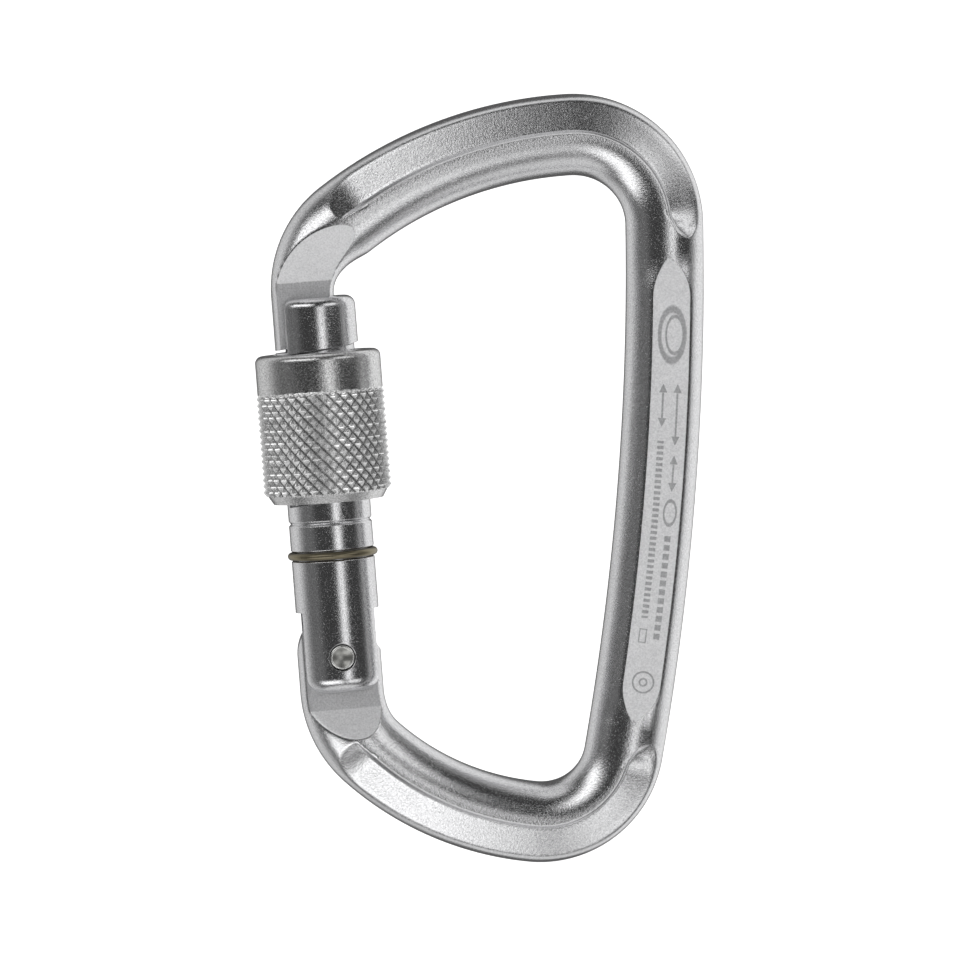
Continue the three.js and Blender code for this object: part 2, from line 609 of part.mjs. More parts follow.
// The return spring, from the plunger's shoulder to the bore's end.
function returnSpring() {
  const coilR = BORE_R - RUN_GAP / 2 - SPRING_WIRE_R;
  const low = PLUNGER_TOP - PLUNGER_NECK_LENGTH + RUN_GAP + SPRING_WIRE_R;
  const high = BORE_TOP - RUN_GAP - SPRING_WIRE_R;
  const steps = SPRING_TURNS * 14;
  const list = Array.from({ length: steps + 1 }, (_, i) => i / steps);
  return carried(list, (t) => {
    const angle = 2 * Math.PI * SPRING_TURNS * t;
    return Array.from({ length: 6 }, (_, k) => {
      const turn = (2 * Math.PI * k) / 6;
      const r = coilR + SPRING_WIRE_R * Math.cos(turn);
      const z = THREE.MathUtils.lerp(low, high, t) + SPRING_WIRE_R * Math.sin(turn);
      return [r * Math.cos(angle), r * Math.sin(angle), z];
    });
  });
}

// ---- Finishes ----
function metal(name, color, roughness) {
  return new THREE.MeshStandardMaterial({ name, color, roughness, metalness: 1 });
}

const carabiner = new THREE.Group();
carabiner.name = "locking_carabiner";
const frame = new THREE.Group();
const gate = new THREE.Group();
frame.add(node("frame_body", frameBody(), metal("tumbled_aluminium", 0xc4c4c6, 0.34)));
gate.add(node("gate_barrel", gateBarrel(), metal("turned_aluminium", 0xc0bfbf, 0.26)));
gate.add(node("hinge_rivet", hingeRivet(), metal("rivet_steel", 0x8f9088, 0.4)));
gate.add(node("return_spring", returnSpring(), metal("spring_steel", 0x9a9a9a, 0.35)));
gate.add(node("spring_plunger", springPlunger(), metal("plunger_steel", 0xa8a8a6, 0.35)));
gate.add(node("stop_ring", stopRing(), metal("bronzed_wire", 0x6f6a55, 0.45)));
gate.add(node("locking_sleeve", sleeveBody(), metal("knurled_aluminium", 0xcbcbcd, 0.36)));
frame.add(gate);

// The hanging point: the highest point of the D's inner edge.
function hangingPoint() {
  const inner = EDGE.map(({ x, z, heading, width }) => [
    x - Math.sin(heading * DEG) * width,
    z + Math.cos(heading * DEG) * width,
  ]);
  return inner.reduce((best, point) => (point[1] > best[1] ? point : best));
}

const [hangX, hangZ] = hangingPoint();
frame.position.set(-hangX, 0, -hangZ);
carabiner.add(frame);

export default carabiner;
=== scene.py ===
"""A D-shaped locking carabiner: finished surfaces and metals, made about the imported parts.

Sizes are in millimetres about the hinge pivot, with X towards the spine, Z up along the closed gate and -Y
towards the viewer. Points are turned into metres and moved to the pivot as they go into a mesh. Only the
studio is laid out in metres.
"""

import json
import math

import bmesh
import bpy
import numpy as np
from mathutils import Matrix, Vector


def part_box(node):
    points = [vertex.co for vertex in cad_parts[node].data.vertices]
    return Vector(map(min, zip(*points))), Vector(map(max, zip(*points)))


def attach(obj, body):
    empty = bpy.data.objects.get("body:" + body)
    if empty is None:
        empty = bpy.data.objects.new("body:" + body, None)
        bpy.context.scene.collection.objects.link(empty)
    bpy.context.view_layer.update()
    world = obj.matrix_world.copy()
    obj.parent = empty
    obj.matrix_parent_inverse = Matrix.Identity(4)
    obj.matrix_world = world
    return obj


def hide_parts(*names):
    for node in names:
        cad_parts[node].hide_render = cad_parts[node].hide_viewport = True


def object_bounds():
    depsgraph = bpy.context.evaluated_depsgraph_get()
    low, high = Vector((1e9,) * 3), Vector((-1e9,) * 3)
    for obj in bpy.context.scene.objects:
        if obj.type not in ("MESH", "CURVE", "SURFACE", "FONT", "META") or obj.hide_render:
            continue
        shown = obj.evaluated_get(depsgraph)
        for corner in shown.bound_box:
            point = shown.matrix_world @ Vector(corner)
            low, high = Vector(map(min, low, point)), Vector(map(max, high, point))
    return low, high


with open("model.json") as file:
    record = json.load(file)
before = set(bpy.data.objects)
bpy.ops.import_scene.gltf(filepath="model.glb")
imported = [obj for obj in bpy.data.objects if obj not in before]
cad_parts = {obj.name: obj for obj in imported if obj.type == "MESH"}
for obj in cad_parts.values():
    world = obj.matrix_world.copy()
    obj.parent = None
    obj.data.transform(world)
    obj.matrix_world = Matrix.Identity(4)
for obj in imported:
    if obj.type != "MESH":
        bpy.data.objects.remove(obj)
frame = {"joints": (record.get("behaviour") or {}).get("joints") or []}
CAD_BOX = [list(map(float, corner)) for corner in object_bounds()]

MM = 0.001
PIVOT = np.array(next(joint["pos_m"] for joint in frame["joints"] if joint["name"] == "gate_swing"))


def node_box(name):
    """A CAD node's lowest and highest corners in millimetres about the pivot."""
    return [(np.array(corner) - PIVOT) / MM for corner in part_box(name)]


# ---- Frame ----
HINGE_TOP, HINGE_DROP = 7.0, 4.9
EDGE_START = (-6.0, HINGE_TOP)
EDGE_WIDTH = 11.6
# Each row of the outer edge: its name, its radius (or its length, where it is straight or the spine), its
# turn in degrees, the rod's width at its far end, and how far apart its stations are.
EDGE_ROWS = (
    ("hinge", HINGE_TOP + HINGE_DROP, 0.0, 11.6, 0.16),
    ("hinge_bend", 18.5, 43.8, 11.2, 0.15),
    ("bottom_bow", 45.6, 35.8, 11.3, 0.32),
    ("bottom_corner", 17.2, 86.3, 11.0, 0.22),
    ("spine", 75.1, 10.9, 10.85, 0.33),
    ("top_corner", 18.2, 92.6, 11.3, 0.22),
    ("top_bow", 61.66, 34.2, 11.25, 0.32),
    ("nose_bend", 17.7, 56.4, 8.7, 0.15),
    ("nose", 9.0, 0.0, 8.7, 0.16),
)
SPINE_CROWDING = 0.6  # how much closer together the spine's stations are at both of its ends
RIM_TURN, WALL_SHARES = 50, (0.88, 0.905, 0.93, 0.955, 0.98, 1.0)
ROD_HALF = 4.9
PANEL_SHARE, PANEL_LEAN = 0.485, 0.11  # of the rod's half width
PANEL_START, PANEL_TAPER, PANEL_POINT = 4.0, 4.2, 0.5
POCKET_RIM_HALF, POCKET_ROOT_HALF = 2.4, 3.75
POCKET_FOLD, FOLD_WAVES = 0.03, 1.6
FOLD_START, FOLD_FULL = -26, -14  # as distances into the spine
POCKET_WALL, WALL_SLOPE, END_RUN_OUT = 0.55, 2.4, 13.0
HINGE_POCKET_INSET, NOSE_POCKET_INSET = 1.5, 4.5
THUMB_TIP, THUMB_LENGTH, THUMB_PLACE = 2.3, 4.6, 2.5  # past the spine's end, along it, and across the rod
THUMB_LIFT, THUMB_RISE, THUMB_POWER, THUMB_SLOPE = 1.15, 6.0, 2.4, 1.4
WALL_EASE_BACK = 10
POCKET_BLEND, PANEL_BLEND, MILL_BLEND = 0.3, 0.08, 0.06
THUMB_BLEND, THUMB_BLEND_ALONG, THUMB_BLEND_ACROSS = 0.7, (-3.5, 0.5), (0.4, 1.2)  # more, and where it grows
TONGUE_HALF = 2.6
HINGE_SHOULDER, HINGE_RAMP = -7.4, 29.0
NOSE_SHOULDER_RISE, NOSE_RAMP = 1.9, 17.0
NOSE_INSET, NOSE_FADE_LOW, NOSE_FADE_HIGH = 0.06, -0.1, 0.6
HINGE_END_R, CAM_HEIGHT, CAM_REACH, CAM_FOOT = 6.0, 5.0, 2.9, 5.8
HEAD_HALF, HEAD_HEIGHT, HEAD_REACH, HEAD_STEP = 3.5, 2.4, -3.9, 0.08
GATE_SIDE_X, NOSE_SIDE_Z = 12, 20  # the mills work at less than this x, and on the nose above this z
UNCUT = 9.0  # a half thickness greater than the rod's anywhere

# ---- Gate ----
GATE_LOW, GATE_HIGH = node_box("gate_barrel")
GATE_FOOT, GATE_TOP = float(GATE_LOW[2]), float(GATE_HIGH[2])
BARREL_R, FOOT_ROUND, TOP_ROUND, BARREL_SIDES = 5.76, 2.2, 1.4, 256
RUN_GAP = 0.3
NOSE_SLOT_INSIDE, EAR_FLAT, EAR_ROUND = 3.24, -4.2, 1.4
HINGE_SLOT_TOP = HINGE_END_R + RUN_GAP
SLOT_UNDER_NOSE, SLOT_OVER_HEAD = 0.75, 0.45
CUT_STEP, CUT_REACH = 0.05, 1.0  # between cutters' faces, so that none coincide, and past the metal
MARK_Z, MARK_HALF, MARK_DEPTH = 18.6, 0.34, 0.3
BORE_R, BORE_TOP = 2.0, 21.9
RIVET_R, RIVET_HEAD_R, RIVET_RIM, RIVET_SUNK = 1.2, 1.72, 0.24, 0.25
RIVET_DISH, DISH_R, DISH_SPAN_R = 0.4, 1.08 * RIVET_R, 1.15 * RIVET_R
HEAD_PLAY, SINK_R, SINK_DEPTH = 0.08, 1.87, 0.65
LIP_DEPTH, LIP_WIDTH = 0.1, 0.12

# ---- Stop ring ----
RING_Z, RING_WIRE_R, RING_MIDDLE_R, RING_OPENING = 14.1, 0.52, 5.73, 24.0
RING_END_ROUND, RING_END_SHARE, WIRE_SIDES = 0.4, 0.35, 20
SEAT_HALF, SEAT_R, SEAT_BEVEL = 0.67, 5.06, 0.12

# ---- Sleeve and its thread ----
SLEEVE_LOW, SLEEVE_HIGH = node_box("locking_sleeve")
SLEEVE_FOOT, SLEEVE_TOP = float(SLEEVE_LOW[2]), float(SLEEVE_HIGH[2])
SLEEVE_R, SLEEVE_BORE_R, SLEEVE_BEVEL = 8.7, 6.06, 0.3
COLLAR, RIM_ROUND = 5.25, 1.0
FOOT_R, FOOT_CHAMFER = 7.6, 1.15
KNURL_CREST_R, KNURL_ROOT_R, KNURLS_ROUND, KNURL_PITCH = 8.92, 8.3, 34, 1.72
KNURL_FADE, KNURL_STEP = 0.45, 0.02  # under the collar, and of radius over the foot's chamfer
POINTS_A_KNURL, GRIP_ROWS, RIDGE_ROWS = 12, 106, 38
SECOND_GROOVE = 0.86  # the depth of the second helix's painted groove shade, as a share of the first's
THREAD_LEAD, THREAD_ROOT_R, THREAD_PLAY, THREAD_STEPS = 3.2, 5.21, 0.25, 400
RIDGE_CREST_R, RIDGE_HALF, RIDGE_FLANK, RIDGE_BELOW_MIDDLE = 5.46, 0.45, 0.3, 0.55
RIDGE_LOW = (SLEEVE_FOOT + SLEEVE_TOP) / 2 - RIDGE_BELOW_MIDDLE - THREAD_LEAD / 2
THREAD_BELOW, THREAD_ABOVE, THREAD_OVER = 7.85, 13.1, 0.5
NOSE_TIP_R = math.hypot(SLEEVE_R - RIM_ROUND, SLEEVE_TOP) + RUN_GAP


# ---- Meshes ----
def add_object(name, data):
    """A new object in the scene."""
    thing = bpy.data.objects.new(name, data)
    bpy.context.scene.collection.objects.link(thing)
    return thing


def mesh_piece(name, points, faces):
    """A piece from points in millimetres about the pivot, with its place in its mesh and faces turned out."""
    mesh = bpy.data.meshes.new(name)
    mesh.from_pydata((np.asarray(points) * MM + PIVOT).tolist(), [], faces)
    work = bmesh.new()
    work.from_mesh(mesh)
    bmesh.ops.recalc_face_normals(work, faces=work.faces)
    if work.calc_volume(signed=True) < 0:
        bmesh.ops.reverse_faces(work, faces=work.faces)
    work.to_mesh(mesh)
    work.free()
    return add_object(name, mesh)


def grid_faces(rows, columns, close_rows=False):
    """The quads of a grid whose columns run round and meet, and whose rows may meet too."""
    index = np.arange(rows * columns).reshape(rows, columns)
    index = np.hstack([index, index[:, :1]])
    if close_rows:
        index = np.vstack([index, index[:1]])
    return np.stack([index[:-1, :-1], index[:-1, 1:], index[1:, 1:], index[1:, :-1]], axis=-1).reshape(-1, 4)


def mark_points(piece, name, values):
    """Numbers, or vectors, on the points of a mesh for its material to read."""
    values = np.ascontiguousarray(values, dtype=np.float32)
    vector = values.shape[-1] == 3
    attribute = piece.data.attributes.new(name, "FLOAT_VECTOR" if vector else "FLOAT", "POINT")
    attribute.data.foreach_set("vector" if vector else "value", values.ravel())


def shade(piece, degrees):
    """Smooth shading, with a sharp line wherever two faces meet at more than this angle."""
    piece.data.polygons.foreach_set("use_smooth", [True] * len(piece.data.polygons))
    piece.data.set_sharp_from_angle(angle=math.radians(degrees))
    return piece


def carve(piece, cutters):
    """Takes each cutter out of the piece, and leaves one finished mesh."""
    for cutter in cutters:
        cut = piece.modifiers.new(cutter.name, "BOOLEAN")
        cut.operation, cut.solver, cut.object = "DIFFERENCE", "MANIFOLD", cutter
    seen = piece.evaluated_get(bpy.context.evaluated_depsgraph_get())
    mesh = bpy.data.meshes.new_from_object(seen)
    piece.modifiers.clear()
    piece.data = mesh
    for cutter in cutters:
        bpy.data.objects.remove(cutter)
    return piece


def lathe(name, profile, segments, axis="z"):
    """A profile of radius and height turned about an upright axis, or about Y for the rivet.

    Ends on the axis are closed by a fan: radius 0 rows become single points.
    """
    profile = np.asarray(profile, dtype=float)
    angle = np.linspace(0, 2 * math.pi, segments, endpoint=False)
    rings = profile[1:-1]
    x = rings[:, :1] * np.cos(angle)
    y = rings[:, :1] * np.sin(angle)
    z = np.broadcast_to(rings[:, 1:], x.shape)
    points = np.stack([x, y, z], axis=-1).reshape(-1, 3)
    ends = np.array([[0, 0, profile[0, 1]], [0, 0, profile[-1, 1]]])
    points = np.vstack([points, ends])
    faces = grid_faces(len(rings), segments).tolist()
    low, high, last = len(points) - 2, len(points) - 1, (len(rings) - 1) * segments
    for k in range(segments):
        after = (k + 1) % segments
        faces.append([low, after, k])
        faces.append([high, last + k, last + after])
    if axis == "y":
        points = points[:, [0, 2, 1]]
    return mesh_piece(name, points, faces)


def block(name, low, high):
    """A cutter's plain box between two corners."""
    corners = np.array([[(low, high)[i][0], (low, high)[j][1], (low, high)[k][2]]
                        for i in (0, 1) for j in (0, 1) for k in (0, 1)])
    faces = [[0, 1, 3, 2], [4, 6, 7, 5], [0, 4, 5, 1], [2, 3, 7, 6], [0, 2, 6, 4], [1, 5, 7, 3]]
    return mesh_piece(name, corners, faces)


def smallest(a, b, radius):
    """The lesser of two arrays, blended where they differ by less than the radius."""
    near = np.clip(1 - np.abs(a - b) / radius, 0, 1)
    return np.minimum(a, b) - near * near * radius / 4


def ramp(value, start, end):
    """0 before start, 1 after end and straight between."""
    return np.clip((value - start) / (end - start), 0, 1)


def ease(t):
    """0 to 1 with a soft start and end: 3t^2 - 2t^3."""
    return t * t * (3 - 2 * t)


def arc_points(centre_r, centre_z, radius, start, end, count):
    """Points of radius and height round a corner."""
    angle = np.radians(np.linspace(start, end, count))
    return np.stack([centre_r + radius * np.cos(angle), centre_z + radius * np.sin(angle)], axis=-1)


# ---- The frame's skin ----
def edge_stations():
    """The frame's outer edge as arrays of x, z, heading, distance and rod width, and where each row ends.

    Along an arc of radius R from heading h, the place after a turn a is the start plus
    R (sin(h + a) - sin h, cos h - cos(h + a)); the width eases from one row's to the next.
    """
    x, z = EDGE_START
    heading, distance, width = math.radians(-90), 0.0, EDGE_WIDTH
    parts, ends = [np.array([[x], [z], [heading], [distance], [width]])], {}
    for name, size, degrees, far_width, spacing in EDGE_ROWS:
        turn = math.radians(degrees)
        length = size if degrees == 0 or name == "spine" else size * turn
        count = round(length / spacing)
        t = np.arange(1, count + 1) / count
        if name == "spine":
            t = t - SPINE_CROWDING * np.sin(2 * math.pi * t) / (2 * math.pi)
        angle = heading + turn * t
        if turn:
            radius = length / turn
            xs = x + radius * (np.sin(angle) - math.sin(heading))
            zs = z + radius * (math.cos(heading) - np.cos(angle))
        else:
            xs = x + length * t * math.cos(heading)
            zs = z + length * t * math.sin(heading)
        widths = width + (far_width - width) * ease(t)
        parts.append(np.stack([xs, zs, angle, distance + length * t, widths]))
        ends[name] = (distance, distance + length, zs[-1])
        x, z, heading, distance, width = xs[-1], zs[-1], angle[-1], distance + length, far_width
    return np.hstack(parts), ends


STATIONS, ENDS = edge_stations()
NOSE_START = ENDS["nose_bend"][2]
NOSE_SHOULDER = NOSE_START + NOSE_SHOULDER_RISE


def shares_across():
    """Places across the rod from its outer edge (0) by the pocket's wall (1) to its inner edge (2), close
    together at the rim, at the wall and where the inner side turns away."""
    rim = 1 - np.cos(np.radians(np.linspace(0, RIM_TURN, 11)))
    web = np.linspace(rim[-1], WALL_SHARES[0], 10)[1:]
    inner = 1 + np.sin(np.radians(np.linspace(0, 90, 20)))[1:]
    return np.concatenate([rim, web, WALL_SHARES[1:], inner])


def into_spine(distance):
    """How far each station lies inside the spine's ends, and less than 0 outside them."""
    start, end = ENDS["spine"][:2]
    return np.minimum(distance - start, end - distance)


def thumb_curl(distance):
    """0 at the thumb's tip to 1 where its sides run straight: the height of a quarter of an ellipse."""
    before = ramp(THUMB_TIP - into_spine(distance), 0, THUMB_LENGTH)
    return np.sqrt(1 - (1 - before) ** 2)


def wall_places(width, distance):
    """Where the pocket's wall stands across the rod: at its middle, and curled in to the thumb's tip at each
    end of the spine. Past the tip, where there is no wall, it eases back."""
    curl = thumb_curl(distance)
    back = ease(ramp(into_spine(distance), THUMB_TIP, THUMB_TIP + WALL_EASE_BACK))
    return THUMB_PLACE + (width / 2 - THUMB_PLACE) * np.maximum(curl, back)


def rod_half(across, width, distance):
    """Half thickness of the bare rod: an ellipse whose crest leans outwards along the spine.

    With u the place across from -1 to 1, it is h sqrt(1 - w^2), where w = (u + k) / (1 + k u). Along the
    spine h is ROD_HALF / sqrt(1 - p^2), so that the panels cut it over the share p of its width, and p falls
    evenly to 0 at each end, which draws the panels to a point.
    """
    grown = np.maximum(0, into_spine(distance) - PANEL_START) / PANEL_TAPER
    t = smallest(grown, 1.0, PANEL_POINT)[:, None]
    u = 2 * across / width[:, None] - 1
    w = (u + PANEL_LEAN * t) / (1 + PANEL_LEAN * t * u)
    half = ROD_HALF / np.sqrt(1 - (PANEL_SHARE * t) ** 2)
    return half * np.sqrt(np.clip(1 - w * w, 0, 1))


def run_out(past, radius):
    """The lift of a cutter that leaves its cut on a circle, at a distance past the cut's end."""
    inside = np.clip(past / radius, 0, 1)
    return radius * (1 - np.sqrt(1 - inside**2))


def pocket_half(across, wall_at, distance):
    """Half thickness left by the pocket's cutter, and how far each place is outside the pocket's wall.

    The cutter leaves a floor that falls from the wall to the rim, folded a little round the corners, a steep
    wall, a rounded thumb into the spine and long run-outs at the ends.
    """
    to_wall = wall_at - across
    t = ramp(to_wall, POCKET_WALL, wall_at)
    floor = POCKET_ROOT_HALF + (POCKET_RIM_HALF - POCKET_ROOT_HALF) * t
    corner = ramp(into_spine(distance), FOLD_START, FOLD_FULL)[:, None]
    floor = floor - POCKET_FOLD * corner * np.abs(np.sin(FOLD_WAVES * np.pi * t))
    wall = WALL_SLOPE * np.maximum(0, POCKET_WALL - to_wall)
    low, high = ENDS["bottom_bow"][0] + HINGE_POCKET_INSET, ENDS["top_bow"][1] - NOSE_POCKET_INSET
    from_edge = across - THUMB_PLACE * (1 - thumb_curl(distance))[:, None]
    near_tip = ease(ramp(into_spine(distance), THUMB_TIP - THUMB_LENGTH, THUMB_TIP))[:, None]
    wall = wall + THUMB_SLOPE * np.maximum(0, 2 * POCKET_WALL - from_edge) * near_tip
    along = np.maximum(0, (into_spine(distance) - THUMB_TIP) / THUMB_RISE + 1)
    lift = THUMB_LIFT * along**THUMB_POWER
    lift = lift + run_out(np.maximum(low - distance, distance - high), END_RUN_OUT)
    return floor + wall + lift[:, None], to_wall


def milled_half(px, pz):
    """Half thickness left by the mills: tongue and ramp at the hinge; head, neck and ramp at the nose."""
    hinge = TONGUE_HALF + np.maximum(0, HINGE_SHOULDER - pz) * math.tan(math.radians(HINGE_RAMP))
    head_top = NOSE_TIP_R + HEAD_HEIGHT
    head = ramp(pz, head_top + HEAD_STEP, head_top - HEAD_STEP)
    head = head * ramp(px, HEAD_REACH - HEAD_STEP, HEAD_REACH + HEAD_STEP)
    nose = TONGUE_HALF + (HEAD_HALF - TONGUE_HALF) * head
    nose = nose + np.maximum(0, pz - NOSE_SHOULDER) * math.tan(math.radians(NOSE_RAMP))
    return np.where(px < GATE_SIDE_X, np.where(pz > NOSE_SIDE_Z, nose, hinge), UNCUT)


def round_nose(px, pz):
    """Half thickness of the nose where it is turned to the barrel's radius, below its shoulder."""
    turned = np.sqrt(np.maximum(0.0, (BARREL_R - NOSE_INSET) ** 2 - px * px))
    below = 1 - ramp(pz, NOSE_SHOULDER + NOSE_FADE_LOW, NOSE_SHOULDER + NOSE_FADE_HIGH)
    on_nose = (pz > NOSE_SIDE_Z) & (px < GATE_SIDE_X)
    return np.where(on_nose, turned * below + UNCUT * (1 - below), UNCUT)


def place_ends(px, pz):
    """Bends the hinge's straight end to its cam outline and the nose's to its arc, both about the pivot."""
    cam = np.sqrt(np.clip(HINGE_END_R**2 - px**2, 0, None))
    slope = CAM_HEIGHT * (CAM_FOOT - px) / (CAM_FOOT - CAM_REACH)
    outline = np.minimum(np.minimum(cam, CAM_HEIGHT), np.maximum(slope, 0))
    t = ramp(STATIONS[3], HINGE_TOP + HINGE_DROP, 0)[:, None]
    pz = pz + t * (outline - HINGE_TOP)
    arc = np.sqrt(np.clip(NOSE_TIP_R**2 - px**2, 0, None))
    start, end = ENDS["nose"][:2]
    t = ramp(STATIONS[3], start, end)[:, None]
    return pz + t * (arc - (NOSE_START - (end - start)))


def frame_skin():
    """The frame's points on a grid, and on each point what the metal's finish follows.

    Half thickness is the least of the rod, the flat panels, the pocket's cutter, the mills' cuts and the
    turned nose, each meeting the next with a small blend. The pocket's is wider on its thumbs.
    """
    x, z, heading, distance, width = STATIONS
    shares = shares_across()[None, :]
    wall_at = wall_places(width, distance)[:, None]
    across = np.where(shares < 1, shares * wall_at, wall_at + (shares - 1) * (width[:, None] - wall_at))
    px = x[:, None] - np.sin(heading)[:, None] * across
    pz = place_ends(px, z[:, None] + np.cos(heading)[:, None] * across)
    rod = rod_half(across, width, distance)
    pocket, to_wall = pocket_half(across, wall_at, distance)
    milled = milled_half(px, pz)
    on_thumb = ramp(into_spine(distance), *THUMB_BLEND_ALONG)[:, None] * ramp(to_wall, *THUMB_BLEND_ACROSS)
    forged = smallest(rod, pocket, POCKET_BLEND + THUMB_BLEND * on_thumb)
    y = smallest(forged, np.full_like(forged, ROD_HALF), PANEL_BLEND)
    y = smallest(smallest(y, milled, MILL_BLEND), round_nose(px, pz), MILL_BLEND)
    y = np.maximum(y, 0)
    y[:, [0, -1]] = 0
    place = np.stack(np.broadcast_arrays(across - width[:, None] / 2, distance[:, None], 0 * px), axis=-1)
    marks = {
        "over_panel": forged - ROD_HALF,
        "over_milled": np.minimum(forged, ROD_HALF + 0.1) - milled,
        "to_wall": to_wall,
        "over_pocket": rod - pocket,
        "place": place,
    }
    return px, y, pz, marks


def forged_frame():
    """The frame: its front and back skins joined at the rod's two edges, with both ends closed."""
    px, y, pz, marks = frame_skin()

    def ring(values):
        """The front's values by row, and then the back's on the way home."""
        return np.concatenate([values, values[:, -2:0:-1]], axis=1)

    points = np.stack([ring(px), np.hstack([-y, y[:, -2:0:-1]]), ring(pz)], axis=-1)
    rows, columns = points.shape[:2]
    faces = grid_faces(rows, columns).tolist()
    for base in (0, (rows - 1) * columns):
        faces.append([base, base + 1, base + columns - 1])
        for k in range(1, columns // 2 - 1):
            faces.append([base + k, base + k + 1, base + columns - k - 1, base + columns - k])
        k = columns // 2
        faces.append([base + k - 1, base + k, base + k + 1])
    piece = mesh_piece("forged_frame", points.reshape(-1, 3), faces)
    for name, values in marks.items():
        values = ring(values)
        mark_points(piece, name, values.reshape(-1, 3) if name == "place" else values.reshape(-1, 1))
    return shade(piece, 40)


# ---- The gate ----
def thread_cutter():
    """The groove's cutter: a four-cornered section carried along a helix, angle 2 pi (z - z0) / lead."""
    low, high = RIDGE_LOW - THREAD_BELOW, RIDGE_LOW + THREAD_ABOVE
    half, outside = RIDGE_HALF + THREAD_PLAY, BARREL_R + THREAD_OVER
    section = np.array([[THREAD_ROOT_R, -half], [outside, -half - RIDGE_FLANK],
                        [outside, half + RIDGE_FLANK], [THREAD_ROOT_R, half]])
    z = np.linspace(low, high, THREAD_STEPS)
    angle = 2 * math.pi * (z - RIDGE_LOW) / THREAD_LEAD
    r = section[None, :, 0]
    points = np.stack([r * np.cos(angle)[:, None], r * np.sin(angle)[:, None],
                       z[:, None] + section[None, :, 1]], axis=-1)
    faces = grid_faces(len(z), 4).tolist() + [[0, 1, 2, 3], [len(z) * 4 - k for k in (1, 2, 3, 4)]]
    return mesh_piece("thread_cutter", points.reshape(-1, 3), faces)


def barrel_blank():
    """The gate before milling: a turned barrel with rounded ends, the ring's seat and the fine groove."""
    foot, top = GATE_FOOT, GATE_TOP
    seat_low, seat_high, bevel_r = RING_Z - SEAT_HALF, RING_Z + SEAT_HALF, BARREL_R - SEAT_BEVEL
    profile = np.vstack([
        [[0, foot]],
        arc_points(BARREL_R - FOOT_ROUND, foot + FOOT_ROUND, FOOT_ROUND, -89.9, 0, 14),
        [[BARREL_R, seat_low - SEAT_BEVEL], [bevel_r, seat_low], [SEAT_R, seat_low]],
        [[SEAT_R, seat_high], [bevel_r, seat_high], [BARREL_R, seat_high + SEAT_BEVEL]],
        [[BARREL_R, MARK_Z - MARK_HALF], [BARREL_R - MARK_DEPTH, MARK_Z], [BARREL_R, MARK_Z + MARK_HALF]],
        arc_points(BARREL_R - TOP_ROUND, top - TOP_ROUND, TOP_ROUND, 0, 89.9, 9),
        [[0, top]],
    ])
    return lathe("turned_gate", profile, BARREL_SIDES)


def ear_cutter(floor, reach):
    """What trims the ears' outer side flat and rounds their upper corner, as an outline carried across."""
    corner = arc_points(EAR_FLAT + EAR_ROUND, GATE_TOP - EAR_ROUND, EAR_ROUND, 180, 90, 9)
    out = GATE_TOP + CUT_REACH
    outline = np.vstack([[[-reach, floor], [EAR_FLAT, floor]], corner,
                         [[EAR_FLAT + EAR_ROUND, out], [-reach, out]]])
    count = len(outline)
    sides = [np.column_stack([outline[:, 0], np.full(count, y), outline[:, 1]]) for y in (-reach, reach)]
    faces = grid_faces(2, count).tolist() + [list(range(count)), list(range(2 * count - 1, count - 1, -1))]
    return mesh_piece("ear_cutter", np.vstack(sides), faces)


def slot_cutters():
    """The slots for the nose and for the hinge tongue, and the flat milled across the ears' outer side."""
    reach, below, out = BARREL_R + CUT_REACH, GATE_FOOT - CUT_REACH, GATE_TOP + CUT_REACH
    neck, head = TONGUE_HALF + RUN_GAP, HEAD_HALF + RUN_GAP
    floor, ledge = NOSE_TIP_R - SLOT_UNDER_NOSE, NOSE_TIP_R + HEAD_HEIGHT + SLOT_OVER_HEAD
    return [
        block("nose_head_slot", (-reach, -head, floor), (NOSE_SLOT_INSIDE, head, ledge)),
        block("nose_neck_slot", (-reach, -neck, floor + 2 * CUT_STEP), (NOSE_SLOT_INSIDE, neck, out)),
        ear_cutter(floor + CUT_STEP, reach),
        block("hinge_slot", (-reach, -neck, below), (reach, neck, HINGE_SLOT_TOP)),
    ]


def turned_gate():
    """The gate barrel with its slots, thread, spring bore and countersunk rivet hole."""
    hole, lip_r = RIVET_HEAD_R + HEAD_PLAY, SINK_R + LIP_WIDTH
    side = [[hole, BARREL_R - SINK_DEPTH], [SINK_R, BARREL_R - LIP_DEPTH], [lip_r, BARREL_R + CUT_STEP],
            [lip_r, BARREL_R + CUT_REACH], [0, BARREL_R + CUT_REACH]]
    profile = [[r, -y] for r, y in reversed(side)] + side
    cutters = slot_cutters() + [
        thread_cutter(),
        lathe("rivet_hole", profile, 64, axis="y"),
        lathe("spring_bore", [[0, 0], [BORE_R, 0], [BORE_R, BORE_TOP], [0, BORE_TOP]], 48),
    ]
    return shade(carve(barrel_blank(), cutters), 30)


# ---- The small turned and bent pieces ----
def spread_rivet():
    """The rivet: a pin whose ends are spread, rounded and dished, turned about Y.

    At a radius r inside the rim the dish lies RIVET_DISH (1 - (r / R)^2) deep, where R is its whole span.
    """
    end = BARREL_R - RIVET_SUNK
    rim = arc_points(RIVET_HEAD_R - RIVET_RIM, end - RIVET_RIM, RIVET_RIM, -60, 115, 14)
    dish_r = np.linspace(DISH_R, 0.05, 10)
    dish = np.stack([dish_r, end - RIVET_DISH * (1 - (dish_r / DISH_SPAN_R) ** 2)], axis=-1)
    side = np.vstack([[[RIVET_R, end - 0.5]], rim, dish, [[0, end - RIVET_DISH]]])
    below = side[::-1] * [1, -1]
    return shade(lathe("spread_rivet", np.vstack([below, side]), 72, axis="y"), 45)


